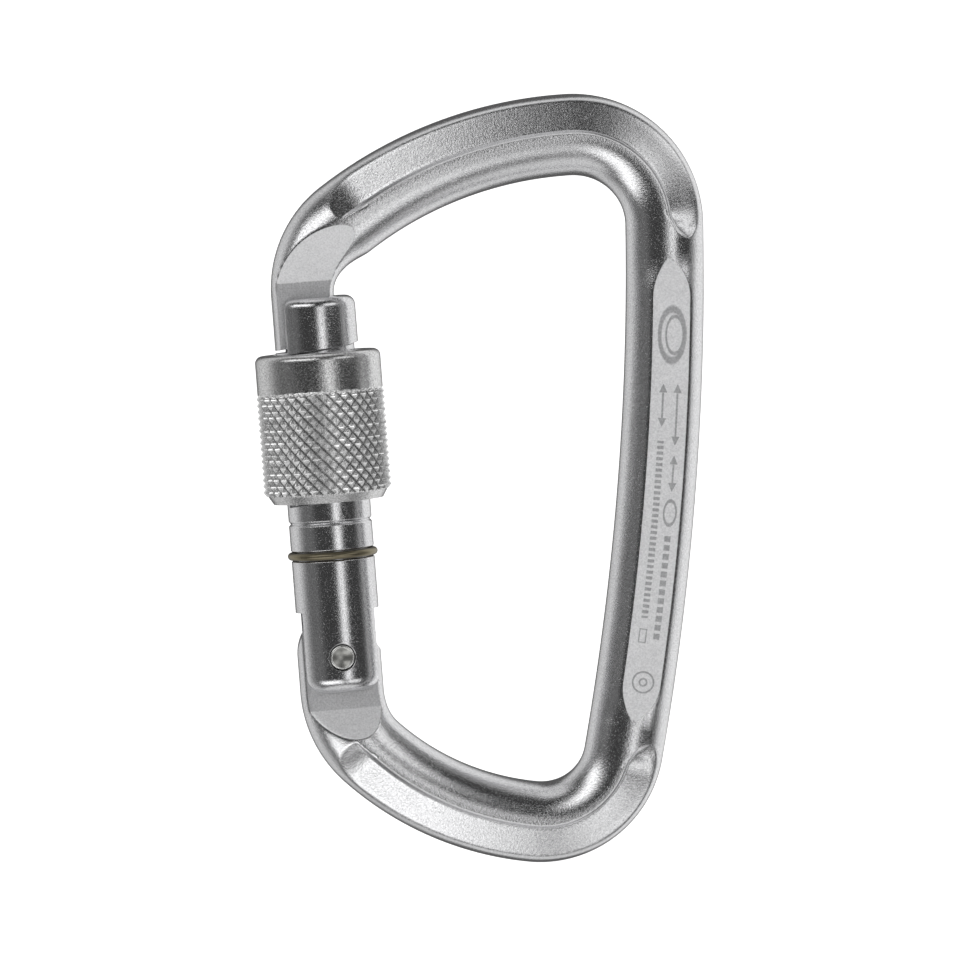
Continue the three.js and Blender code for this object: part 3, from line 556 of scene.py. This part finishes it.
def wire_ring():
    """The stop ring: a round wire bent to an open ring, its ends rounded off.

    The wire's middle is on a circle, and its radius shrinks with sqrt(1 - t^2) over each end, where the
    stations are closer together.
    """
    gap = math.radians(RING_OPENING)
    along = np.concatenate([np.linspace(0, 0.011, 8), np.linspace(0.02, 0.98, 150), np.linspace(0.989, 1, 8)])
    angle = math.pi / 2 + gap / 2 + (2 * math.pi - gap) * along
    to_end = np.minimum(along, 1 - along) * (2 * math.pi - gap) * RING_MIDDLE_R
    t = 1 - ramp(to_end, 0, RING_END_ROUND)
    shrunk = RING_END_SHARE + (1 - RING_END_SHARE) * np.sqrt(np.clip(1 - t * t, 0, 1))
    wire = RING_WIRE_R * shrunk
    turn = np.linspace(0, 2 * math.pi, WIRE_SIDES, endpoint=False)
    r = RING_MIDDLE_R + wire[:, None] * np.cos(turn)
    z = RING_Z + wire[:, None] * np.sin(turn)
    points = np.stack([r * np.cos(angle)[:, None], r * np.sin(angle)[:, None], z], axis=-1)
    count = len(angle) * WIRE_SIDES
    faces = grid_faces(len(angle), WIRE_SIDES).tolist()
    faces += [list(range(WIRE_SIDES)), list(range(count - WIRE_SIDES, count))]
    return shade(mesh_piece("wire_stop_ring", points.reshape(-1, 3), faces), 50)


# ---- The sleeve ----
def knurl_height(angle, z, second_groove=1.0):
    """0 in the knurling's valleys to 1 at its points: the lesser of two triangle waves that run along
    left- and right-hand helices, N angle / 2 pi plus and minus z / pitch. The second can be shallower."""
    whole = 99  # a whole number of knurls, which only keeps both places above 0
    around, along = KNURLS_ROUND * angle / (2 * math.pi), z / KNURL_PITCH
    first, second = np.modf(around + along + whole)[0], np.modf(around - along + whole)[0]
    return np.minimum(1 - np.abs(2 * first - 1), 1 - second_groove * np.abs(2 * second - 1))


def sleeve_profile():
    """The sleeve's outline from its foot up the outside, over the rim and down the bore, as radius and z, and
    how many of its rows are the foot's chamfer and the grip."""
    grip_low, grip_high = SLEEVE_FOOT + FOOT_CHAMFER, SLEEVE_TOP - COLLAR
    chamfer = np.linspace(0, 1, 9)[:, None] * [KNURL_ROOT_R - FOOT_R, FOOT_CHAMFER] + [FOOT_R, SLEEVE_FOOT]
    grip_z = np.linspace(grip_low, grip_high, GRIP_ROWS + 1)[1:]
    grip = np.stack([np.full(GRIP_ROWS, SLEEVE_R), grip_z], axis=-1)
    collar = [[SLEEVE_R, grip_high + 0.1], [SLEEVE_R, grip_high + 1.5], [SLEEVE_R, grip_high + 3]]
    rim = arc_points(SLEEVE_R - RIM_ROUND, SLEEVE_TOP - RIM_ROUND, RIM_ROUND, 0, 90, 9)
    lead = [[SLEEVE_BORE_R + SLEEVE_BEVEL, SLEEVE_TOP], [SLEEVE_BORE_R, SLEEVE_TOP - SLEEVE_BEVEL]]
    ridge_z = np.linspace(RIDGE_LOW + THREAD_LEAD + 1, RIDGE_LOW - 1, RIDGE_ROWS)
    bore = np.stack([np.full(RIDGE_ROWS, SLEEVE_BORE_R), ridge_z], axis=-1)
    foot = [[SLEEVE_BORE_R, SLEEVE_FOOT + SLEEVE_BEVEL], [SLEEVE_BORE_R + SLEEVE_BEVEL, SLEEVE_FOOT]]
    return np.vstack([chamfer, grip, collar, rim, lead, bore, foot]), len(chamfer) + len(grip)


def knurled_sleeve():
    """The sleeve on a closed grid of its outline by angle: knurled outside, one thread ridge inside.

    The knurled radius is held under the foot's chamfer and fades to the collar's over its last half
    millimetre. The ridge stands in from the bore by its flank's share, and tapers at both of its ends.
    """
    profile, grip_rows = sleeve_profile()
    angle = np.linspace(0, 2 * math.pi, KNURLS_ROUND * POINTS_A_KNURL, endpoint=False)
    z = np.broadcast_to(profile[:, 1:], (len(profile), len(angle)))
    r = np.broadcast_to(profile[:, :1], z.shape).copy()
    height = knurl_height(angle[None, :], z)
    knurled = KNURL_ROOT_R + (KNURL_CREST_R - KNURL_ROOT_R) * height
    fade = 1 - ramp(z, SLEEVE_TOP - COLLAR - KNURL_FADE, SLEEVE_TOP - COLLAR + KNURL_STEP)
    knurled = SLEEVE_R + (knurled - SLEEVE_R) * fade
    outside = np.arange(len(profile))[:, None] < grip_rows
    chamfered = np.where(z <= SLEEVE_FOOT + FOOT_CHAMFER, np.minimum(r, KNURL_ROOT_R + KNURL_STEP), knurled)
    r = np.where(outside, chamfered, r)
    off = np.abs(z - RIDGE_LOW - THREAD_LEAD * angle / (2 * math.pi))
    ends = ramp(np.minimum(angle, 2 * math.pi - angle), 0.02, 0.3)
    ridge = ramp(off, RIDGE_HALF + RIDGE_FLANK, RIDGE_HALF) * ends * (SLEEVE_BORE_R - RIDGE_CREST_R)
    r = np.where(profile[:, :1] == SLEEVE_BORE_R, r - ridge, r)
    points = np.stack([r * np.cos(angle), r * np.sin(angle), z], axis=-1)
    faces = grid_faces(*z.shape, close_rows=True).tolist()
    piece = mesh_piece("knurled_sleeve", points.reshape(-1, 3), faces)
    fade = fade * (profile[:, 1:] > SLEEVE_FOOT + FOOT_CHAMFER) * outside
    # The knurl mark places the painted shade of the valleys and the painted highlight of the points.
    shown = knurl_height(angle[None, :], z, SECOND_GROOVE)
    mark_points(piece, "knurl", (1 - fade * (1 - shown)).reshape(-1, 1))
    mark_points(piece, "grip", fade.reshape(-1, 1))
    return shade(piece, 28)


# ---- Metals ----
class Signal:
    """A socket's value in a node tree, so that sums of patterns are written as sums."""

    def __init__(self, nodes, socket):
        self.nodes, self.socket = nodes, socket

    def math(self, operation, *others):
        values = {index: value for index, value in enumerate((self, *others))}
        return self.nodes.node("ShaderNodeMath", {"operation": operation}, values)

    def __add__(self, other):
        return self.math("ADD", other)

    def __sub__(self, other):
        return self.math("SUBTRACT", other)

    def __mul__(self, other):
        return self.math("MULTIPLY", other)

    def __truediv__(self, other):
        return self.math("DIVIDE", other)

    def __pow__(self, other):
        return self.math("POWER", other)

    def __rsub__(self, other):
        return (self * -1).math("ADD", other)

    def __abs__(self):
        return self.math("ABSOLUTE")

    def most(self, other):
        return self.math("MAXIMUM", other)

    def range(self, low, high, to_low=0.0, to_high=1.0, smooth=False):
        """The signal's low to high drawn to another range, and held there."""
        settings = {"interpolation_type": "SMOOTHSTEP" if smooth else "LINEAR"}
        values = {"Value": self, "From Min": low, "From Max": high, "To Min": to_low, "To Max": to_high}
        return self.nodes.node("ShaderNodeMapRange", settings, values)


class NodeMaker:
    """A node tree, and the one way that its nodes are made."""

    def __init__(self, tree):
        self.tree = tree

    def node(self, kind, settings=None, values=None, output=0):
        """A new node's output, from the node's settings and its inputs' values or signals."""
        made = self.tree.nodes.new(kind)
        for key, value in (settings or {}).items():
            setattr(made, key, value)
        for key, value in (values or {}).items():
            if isinstance(value, Signal):
                self.tree.links.new(value.socket, made.inputs[key])
            else:
                made.inputs[key].default_value = value
        return Signal(self, made.outputs[output])

    def split(self, vector):
        """A vector's x, y and z."""
        made = self.node("ShaderNodeSeparateXYZ", values={0: vector})
        return [Signal(self, socket) for socket in made.socket.node.outputs]


class Finish(NodeMaker):
    """A metal: one Principled shader whose patterns are built from nodes."""

    def __init__(self, name):
        self.material = bpy.data.materials.new(name)
        self.material.use_nodes = True
        super().__init__(self.material.node_tree)
        self.shader = self.tree.nodes["Principled BSDF"]
        self.shader.inputs["Metallic"].default_value = 1.0
        self.place = self.node("ShaderNodeTexCoord", output="Object")

    def mark(self, name, output="Fac"):
        """What mark_points wrote on the mesh."""
        return self.node("ShaderNodeAttribute", {"attribute_name": name}, output=output)

    def from_pivot(self):
        """The piece's own place, measured from the hinge's pivot."""
        return self.node("ShaderNodeVectorMath", {"operation": "SUBTRACT"}, {0: self.place, 1: tuple(PIVOT)})

    def noise(self, size, detail=2.0, rough=0.55):
        """Cloudy noise whose features are about this many millimetres across."""
        values = {"Vector": self.place, "Scale": 1 / (size * MM), "Detail": detail, "Roughness": rough}
        return self.node("ShaderNodeTexNoise", values=values)

    def drawn_noise(self, features, detail=2.0, rough=0.55):
        """Noise drawn out into lines, by how many features it has in a millimetre along each axis."""
        scale = tuple(count / MM for count in features)
        place = self.node("ShaderNodeVectorMath", {"operation": "MULTIPLY"}, {0: self.place, 1: scale})
        values = {"Vector": place, "Scale": 1.0, "Detail": detail, "Roughness": rough}
        return self.node("ShaderNodeTexNoise", values=values)

    def speckle(self, size):
        """Tumbling's fine light and dark grains, drawn out to nearly 0 and 1."""
        return self.noise(size, 3, 0.7).range(0.32, 0.68)

    def sparks(self, size):
        """Sparse fine pits that catch the light: only the highest places of a noise."""
        return self.noise(size, 2).range(0.58, 0.68)

    def pits(self, size):
        """Distance from scattered points, for dents and grit of about this many millimetres."""
        values = {"Vector": self.place, "Scale": 1 / (size * MM)}
        return self.node("ShaderNodeTexVoronoi", {"feature": "F1"}, values, "Distance")

    def softened_edges(self, radius):
        """The surface's direction with its edges rounded by this many millimetres, and how much the rounding
        turns each edge, a mask that the metals paint lighter, partly for wear and partly as a painted
        highlight."""
        rounded = self.node("ShaderNodeBevel", {"samples": 6}, {"Radius": radius * MM})
        facing = self.node("ShaderNodeNewGeometry", output="Normal")
        product = {"operation": "DOT_PRODUCT"}
        same = self.node("ShaderNodeVectorMath", product, {0: rounded, 1: facing}, "Value")
        return rounded, (1 - same).range(0.02, 0.22)

    def tone(self, amount, dark, light):
        """A colour between two, by a signal."""
        made = self.tree.nodes.new("ShaderNodeMix")
        made.data_type = "RGBA"
        self.tree.links.new(amount.socket, made.inputs["Factor"])
        made.inputs["A"].default_value = (*dark, 1)
        made.inputs["B"].default_value = (*light, 1)
        return Signal(self, made.outputs["Result"])

    def finish(self, color=None, roughness=None, height=None, depth=0.01, normal=None, metallic=None):
        """Links the patterns to the shader; depth is the height's full range in millimetres."""
        if height is not None:
            values = {"Height": height, "Distance": depth * MM, "Strength": 1.0}
            if normal is not None:
                values["Normal"] = normal
            normal = self.node("ShaderNodeBump", values=values)
        links = {"Base Color": color, "Roughness": roughness, "Normal": normal, "Metallic": metallic}
        for socket, signal in links.items():
            if signal is not None:
                self.tree.links.new(signal.socket, self.shader.inputs[socket])
        return self.material


MARKS_ACROSS = 0.6  # from the rod's middle to the middle of the signs on its panel
DARK_METAL, LIGHT_METAL = (0.36, 0.36, 0.37), (0.93, 0.93, 0.94)
FLAT_EDGE = 0.1  # half the height over which a ramp's look changes to its flat's


def bar_mark(u, v, u0, u1, v0, v1, soft=0.05):
    """1 inside a box of the panel's own across and along, in millimetres, and 0 outside."""
    half_wide, half_long = (u1 - u0) / 2, (v1 - v0) / 2
    across = abs(u - (u0 + u1) / 2).range(half_wide - soft, half_wide + soft, 1, 0)
    along = abs(v - (v0 + v1) / 2).range(half_long - soft, half_long + soft, 1, 0)
    return across * along


def ring_mark(u, v, cu, cv, ru, rv, line=0.16):
    """1 on an oval line: where the oval's own radius is within half the line's width of 1."""
    radius = (((u - cu) / ru) ** 2 + ((v - cv) / rv) ** 2) ** 0.5
    return abs(radius - 1).range(line / ru / 2, line / ru, 1, 0)


def arrow_mark(u, v, cu, v0, v1, line=0.13, head=1.2):
    """1 on a double-headed arrow along the panel: a thin shaft and two triangles."""
    slant, soft = 0.45, 0.05
    off = abs(u - cu)
    shaft = bar_mark(u, v, cu - line, cu + line, v0 + head, v1 - head)
    to_end = abs(v - (v0 + v1) / 2) * -1 + (v1 - v0) / 2
    point = (off - to_end * slant).range(0, 0.06, 1, 0) * to_end.range(head - soft, head + soft, 1, 0)
    return shaft.most(point * to_end.range(0, 0.02))


def etched_marks(finish):
    """Plain signs etched on the front panel: ovals, load arrows, two rows of dashes, a plate and rings.

    They are placed by u across the panel and v down it from the spine's upper end, in millimetres.
    """
    across, along, _ = finish.split(finish.mark("place", "Vector"))
    _, depth, _ = finish.split(finish.place)
    u, v = across * -1 - MARKS_ACROSS, ENDS["spine"][1] - along
    shapes = [
        ring_mark(u, v, 0.0, 15.6, 1.75, 3.6, 0.34),
        ring_mark(u, v, 0.35, 15.6, 1.2, 2.6, 0.16),
        arrow_mark(u, v, 1.0, 22.5, 31.0),
        arrow_mark(u, v, -1.0, 22.5, 28.5),
        arrow_mark(u, v, 1.0, 32.5, 37.5),
        ring_mark(u, v, 1.0, 40.5, 0.85, 1.7),
        ring_mark(u, v, 0.0, 64.5, 1.45, 1.45, 0.16),
        ring_mark(u, v, 0.0, 64.5, 0.5, 0.5, 0.16),
        bar_mark(u, v, -1.5, -0.4, 57.0, 59.0, 0.04) - bar_mark(u, v, -1.34, -0.56, 57.16, 58.84, 0.04),
    ]
    dashes = (v * 1.25).math("FRACT").range(0.5, 0.6, 1, 0) * bar_mark(u, v, -1.45, -0.55, 30.5, 55.5)
    for shape in shapes:
        dashes = dashes.most(shape)
    longer = (v * 0.8).math("FRACT").range(0.6, 0.7, 1, 0) * bar_mark(u, v, 0.55, 1.4, 43.5, 58.5)
    front = depth.range(-4.0 * MM, -4.5 * MM)
    return dashes.most(longer) * front


def tumbled_aluminium():
    """The forged frame: tumbled metal with fine grain, matt panels, milled ramps painted lighter
    as painted light, and edges and crests lightened for wear and a painted highlight.
    """
    f = Finish("tumbled_aluminium")
    rounded, edge_wear_and_highlight = f.softened_edges(0.18)
    milled = f.mark("over_milled").range(0, 0.05)
    panel = f.mark("over_panel").range(0, 0.05) * (1 - milled)
    hollow = f.mark("over_pocket").range(0, 0.3) * (1 - milled)
    crest = abs(f.mark("to_wall")).range(0.1, 0.4, 1, 0) * f.mark("over_pocket").range(-0.5, 0)
    crest = crest * (1 - milled)
    grain, fine, cloud = f.speckle(0.24), f.noise(0.09, 2), f.noise(9, 3)
    dents = f.pits(0.45).range(0.0, 0.35)
    passes = f.drawn_noise((0.5, 0.5, 6.0)) * milled
    marks = etched_marks(f)
    # Painted highlight: the line along the pocket's crest is lightened together with the edges.
    edge_wear_and_highlight = edge_wear_and_highlight.most(crest * 0.7)
    _, _, up = f.split(f.from_pivot())
    flat = milled * up.range((NOSE_SHOULDER + FLAT_EDGE) * MM, (NOSE_SHOULDER - FLAT_EDGE) * MM)
    flat = flat * up.range((HINGE_SHOULDER - FLAT_EDGE) * MM, (HINGE_SHOULDER + FLAT_EDGE) * MM)
    # The edge mask paints the edges lighter: partly wear, partly a painted highlight.
    light = grain * 0.5 + cloud * 0.2 + 0.3 + edge_wear_and_highlight * 0.25 - marks * 0.75 + dents * 0.08 + panel * 0.12
    # Painted light: the milled ramps are painted lighter than the flats, for how light falls on them.
    light = light + (milled - flat) * 0.12 - flat * 0.3
    color = f.tone(light.range(0, 1.15), DARK_METAL, LIGHT_METAL)
    roughness = grain * 0.08 + 0.10 + panel * 0.25 + milled * 0.2 + hollow * 0.02 + cloud * 0.05
    roughness = roughness - edge_wear_and_highlight * 0.04 + marks * 0.15
    matt = 1 - (panel + milled).range(0, 1) * 0.6
    height = grain * matt * 0.45 + fine * 0.25 + dents * 0.25 + passes * 0.6 - marks * 1.2
    height = height - f.sparks(0.2) * matt * 0.3
    metallic = 1 - panel * 0.8 - milled * 0.7 + flat * 0.25
    return f.finish(color, roughness, height, 0.018, rounded, metallic)


def turned_aluminium():
    """The gate: a bright turned barrel, fine lines round it, light handling marks, and edges lightened for
    wear and a painted highlight.
    """
    f = Finish("turned_aluminium")
    rounded, edge_wear_and_highlight = f.softened_edges(0.15)
    lines = f.drawn_noise((0.05, 0.05, 9.0), 3, 0.65)
    grain, cloud = f.speckle(0.22), f.noise(6, 2)
    scuffs = f.drawn_noise((0.6, 0.6, 3.5)).range(0.56, 0.68)
    # The edge mask paints the edges lighter: partly wear, partly a painted highlight.
    light = lines * 0.10 + grain * 0.55 + cloud * 0.18 + 0.26 + edge_wear_and_highlight * 0.5
    color = f.tone(light.range(0, 1.1), DARK_METAL, LIGHT_METAL)
    roughness = grain * 0.07 + lines * 0.03 + 0.10 + scuffs * 0.03 - edge_wear_and_highlight * 0.03
    height = lines * 0.06 + grain * 0.4 - f.sparks(0.17) * 0.35
    return f.finish(color, roughness, height, 0.014, rounded)


def knurled_aluminium():
    """The sleeve: rougher knurling valleys with painted shade, painted highlights on its points, and a
    fine-grained collar.
    """
    f = Finish("knurled_aluminium")
    rounded, edge_wear_and_highlight = f.softened_edges(0.05)
    knurl, grip = f.mark("knurl"), f.mark("grip")
    grain, cloud = f.speckle(0.22), f.noise(7, 2)
    lines = f.drawn_noise((0.05, 0.05, 7.0), 3, 0.65)
    # Painted shade in the valleys and a painted highlight on the points, over knurling that is lighter
    # overall; the edge mask adds wear and a painted highlight.
    valley = (1 - knurl).range(0.6, 0.92)
    light = grain * 0.5 + cloud * 0.12 + lines * 0.04 + 0.3 + grip * 0.3
    light = light + knurl.range(0.5, 1.0) * grip * 0.45 - valley * 0.9 + edge_wear_and_highlight * 0.1
    color = f.tone(light.range(0, 1.05), (0.14, 0.14, 0.14), (1.0, 1.0, 1.0))
    roughness = grain * 0.10 + 0.17 + valley * 0.15 - grip * 0.02
    height = grain * 0.5 * (1 - grip * 0.5) + lines * 0.1 - f.sparks(0.17) * 0.3
    return f.finish(color, roughness, height, 0.014, rounded, 1 - grip * 0.2)


def bronzed_wire():
    """The stop ring: dark bronzed spring wire, painted brighter on its outside as a painted highlight."""
    f = Finish("bronzed_wire")
    x, y, _ = f.split(f.from_pivot())
    out = ((x * x + y * y) ** 0.5).range(5.9 * MM, 6.3 * MM)
    drawn, grain = f.drawn_noise((0.3, 0.3, 8.0), 3), f.noise(0.25, 3)
    # Painted highlight: the wire's outside is painted lighter.
    light = out * 0.35 + grain * 0.4 + drawn * 0.3
    color = f.tone(light.range(0.1, 0.95), (0.07, 0.06, 0.04), (0.36, 0.32, 0.22))
    return f.finish(color, grain * 0.2 + 0.28 - out * 0.08, drawn * 0.6 + grain * 0.4, 0.008)


def steel(name, dark, light, base_rough, line_features, rub_and_highlight_from=None):
    """A plain steel: fine turning lines, clouded colour and a little pitting. It is painted brighter from a
    radius out, where one is given, in millimetres about the pivot's axis: rub wear and a painted highlight."""
    f = Finish(name)
    lines = f.drawn_noise(line_features, 3, 0.65)
    grain, cloud, pit = f.noise(0.18, 3), f.noise(1.6, 3), f.pits(0.3).range(0.0, 0.3)
    amount = (lines * 0.3 + grain * 0.3 + cloud * 0.5 + pit * 0.15 - 0.1).range(0, 1)
    rough = grain * 0.15 + cloud * 0.1 + base_rough
    if rub_and_highlight_from:
        # Painted highlight with rub wear: the rim past the radius is painted brighter and smoother.
        x, _, z = f.split(f.from_pivot())
        rub_and_highlight = ((x * x + z * z) ** 0.5).range(rub_and_highlight_from * MM, (rub_and_highlight_from + 0.15) * MM)
        amount, rough = amount * 0.5 + rub_and_highlight * 0.5, rough - rub_and_highlight * 0.1
    return f.finish(f.tone(amount, dark, light), rough, lines * 0.4 + grain * 0.4 + pit * 0.3, 0.01)


# ---- The studio ----
LOOK_AT = PIVOT + np.array([21.18, 0.0, 22.62]) * MM
CAMERA_AZIMUTH, CAMERA_ELEVATION, CAMERA_ROLL = -4.0, 3.0, 4.36
EVERYWHERE = 0.048  # the light that comes from every direction
FIELD, LENS, SENSOR = 0.1333, 200.0, 36.0  # metres across at the carabiner, and the camera's own millimetres
FLOOR_DROP, FLOOR_INNER_R, FLOOR_R, FLOOR_CURVE, FLOOR_HEIGHT, FLOOR_SIDES = 0.0006, 0.02, 1.2, 0.7, 3.0, 48
# Each soft box: azimuth from the viewer's side towards the spine, elevation, half width, half height and the
# softness of its edges, all in degrees, and its brightness.
SOFTBOXES = (
    (16, -4, 9, 16, 6, 1.25),
    (-38, 32, 33, 10, 6, 1.7),
    (47, 23, 20, 11, 6, 1.15),
    (-36, -33, 33, 11, 6, 1.7),
    (32, -33, 22, 11, 7, 1.15),
    (-2, -38, 40, 12, 8, 0.45),
    (0, -80, 180, 22, 8, 0.75),
    (0, 84, 180, 18, 8, 0.8),
)


def toward(azimuth, elevation):
    """The direction from the carabiner to a place round it, where azimuth 0 is the viewer's side."""
    a, e = math.radians(azimuth), math.radians(elevation)
    return np.array([math.sin(a) * math.cos(e), -math.cos(a) * math.cos(e), math.sin(e)])


def white_tent():
    """The surroundings by direction: white beside and behind the carabiner, dim straight in front of it and
    straight behind it, and soft boxes of light."""
    world = bpy.data.worlds.new("white_tent")
    world.use_nodes = True
    nodes = NodeMaker(world.node_tree)
    x, y, z = nodes.split(nodes.node("ShaderNodeTexCoord", output="Generated"))
    degrees = 180 / math.pi
    azimuth = x.math("ARCTAN2", y * -1) * degrees
    elevation = z.math("ARCSINE") * degrees
    round_back = (y + x * 0.12).range(-0.3, 0.42, smooth=True)
    brighter_right = x.range(-0.6, 0.8, 0.6, 0.92)
    off_middle = abs(azimuth).range(146, 164, 1, 0.1, smooth=True)
    far_left = x.range(-0.85, -0.65, 0.11, 0.0, smooth=True)
    light = round_back * brighter_right * off_middle + far_left + EVERYWHERE
    for at, height, half_wide, half_high, soft, brightness in SOFTBOXES:
        wide = abs(azimuth - at).range(half_wide - soft, half_wide + soft, brightness, 0, smooth=True)
        high = abs(elevation - height).range(half_high - soft, half_high + soft, 1, 0, smooth=True)
        light = light.most(wide * high)
    background = world.node_tree.nodes["Background"]
    world.node_tree.links.new(light.socket, background.inputs["Strength"])
    background.inputs["Color"].default_value = (1, 1, 1, 1)
    bpy.context.scene.world = world


def pale_floor():
    """A white floor that curves up all round the carabiner: a profile of radius and height turned about Z.

    Its sizes are in metres. Only the camera sees it, so that it changes no reflection and no light.
    """
    floor = CAD_BOX[0][2] - FLOOR_DROP
    turn = np.radians(np.linspace(0, 90, 13))
    wall_r = FLOOR_R + FLOOR_CURVE
    r = np.concatenate([[FLOOR_INNER_R], FLOOR_R + FLOOR_CURVE * np.sin(turn), [wall_r]])[:, None]
    z = np.concatenate([[0], FLOOR_CURVE * (1 - np.cos(turn)), [FLOOR_HEIGHT]])[:, None] + floor
    angle = np.linspace(0, 2 * math.pi, FLOOR_SIDES, endpoint=False)[None, :]
    points = np.stack(np.broadcast_arrays(r * np.cos(angle), r * np.sin(angle), z), axis=-1)
    faces = grid_faces(len(r), FLOOR_SIDES).tolist() + [list(range(FLOOR_SIDES))]
    mesh = bpy.data.meshes.new("pale_floor")
    mesh.from_pydata(points.reshape(-1, 3).tolist(), [], faces)
    sheet = add_object("pale_floor", mesh)
    material = bpy.data.materials.new("pale_floor")
    material.use_nodes = True
    shader = material.node_tree.nodes["Principled BSDF"]
    shader.inputs["Base Color"].default_value = (0.9, 0.9, 0.9, 1)
    shader.inputs["Roughness"].default_value = 0.9
    shader.inputs["Emission Color"].default_value = (1, 1, 1, 1)
    shader.inputs["Emission Strength"].default_value = 0.8
    mesh.materials.append(material)
    sheet.visible_glossy = sheet.visible_diffuse = sheet.visible_shadow = False


def place_facing(thing, position, forward, roll):
    """Puts a lamp or camera at a place, looking along forward, turned by roll degrees about its view."""
    right = np.cross(forward, [0.0, 0.0, 1.0])
    right /= np.linalg.norm(right)
    up = np.cross(right, forward)
    c, s = math.cos(math.radians(roll)), math.sin(math.radians(roll))
    matrix = np.eye(4)
    matrix[:3, 0], matrix[:3, 1] = c * right - s * up, s * right + c * up
    matrix[:3, 2], matrix[:3, 3] = -forward, position
    thing.matrix_world = Matrix(matrix.tolist())


def lamp(name, azimuth, elevation, distance, size, watts):
    """A square soft lamp that faces the carabiner, its distance and size in metres."""
    light = bpy.data.lights.new(name, "AREA")
    light.shape, light.size, light.energy = "SQUARE", size, watts
    holder = add_object(name, light)
    away = toward(azimuth, elevation)
    place_facing(holder, LOOK_AT + away * distance, -away, 0.0)
    holder.visible_glossy = False


def studio():
    """The surroundings, the floor, a soft key lamp and the camera."""
    scene = bpy.context.scene
    scene.view_settings.view_transform = "Standard"
    white_tent()
    pale_floor()
    lamp("key_lamp", azimuth=-25, elevation=8, distance=1.2, size=0.5, watts=4.6)
    camera = add_object("camera", bpy.data.cameras.new("camera"))
    camera.data.lens, camera.data.sensor_width, camera.data.clip_end = LENS, SENSOR, 20.0
    away = toward(CAMERA_AZIMUTH, CAMERA_ELEVATION)
    place_facing(camera, LOOK_AT + away * FIELD * LENS / SENSOR, -away, CAMERA_ROLL)
    scene.camera = camera


# ---- Assembly ----
def fit(piece, body, node, material):
    """Gives a finished piece its metal, and puts it on its body in place of its CAD node."""
    piece.data.materials.clear()  # carving leaves an empty slot
    piece.data.materials.append(material)
    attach(piece, body)
    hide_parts(node)


def refinish(node, material):
    """Gives a CAD node that stays as it is a better metal."""
    for slot in bpy.data.objects[node].material_slots:
        slot.material = material


studio()
fit(forged_frame(), "frame", "frame_body", tumbled_aluminium())
fit(turned_gate(), "gate", "gate_barrel", turned_aluminium())
fit(knurled_sleeve(), "sleeve", "locking_sleeve", knurled_aluminium())
fit(wire_ring(), "ring", "stop_ring", bronzed_wire())
rivet_steel = steel("rivet_steel", (0.2, 0.2, 0.18), (0.95, 0.95, 0.93), 0.24, (0.4, 0.4, 0.4), DISH_R)
spring_steel = steel("spring_steel", (0.35, 0.35, 0.36), (0.72, 0.72, 0.73), 0.2, (2.0, 2.0, 2.0))
plunger_steel = steel("plunger_steel", (0.4, 0.4, 0.4), (0.75, 0.75, 0.74), 0.2, (0.1, 0.1, 8.0))
fit(spread_rivet(), "gate", "hinge_rivet", rivet_steel)
refinish("return_spring", spring_steel)
refinish("spring_plunger", plunger_steel)
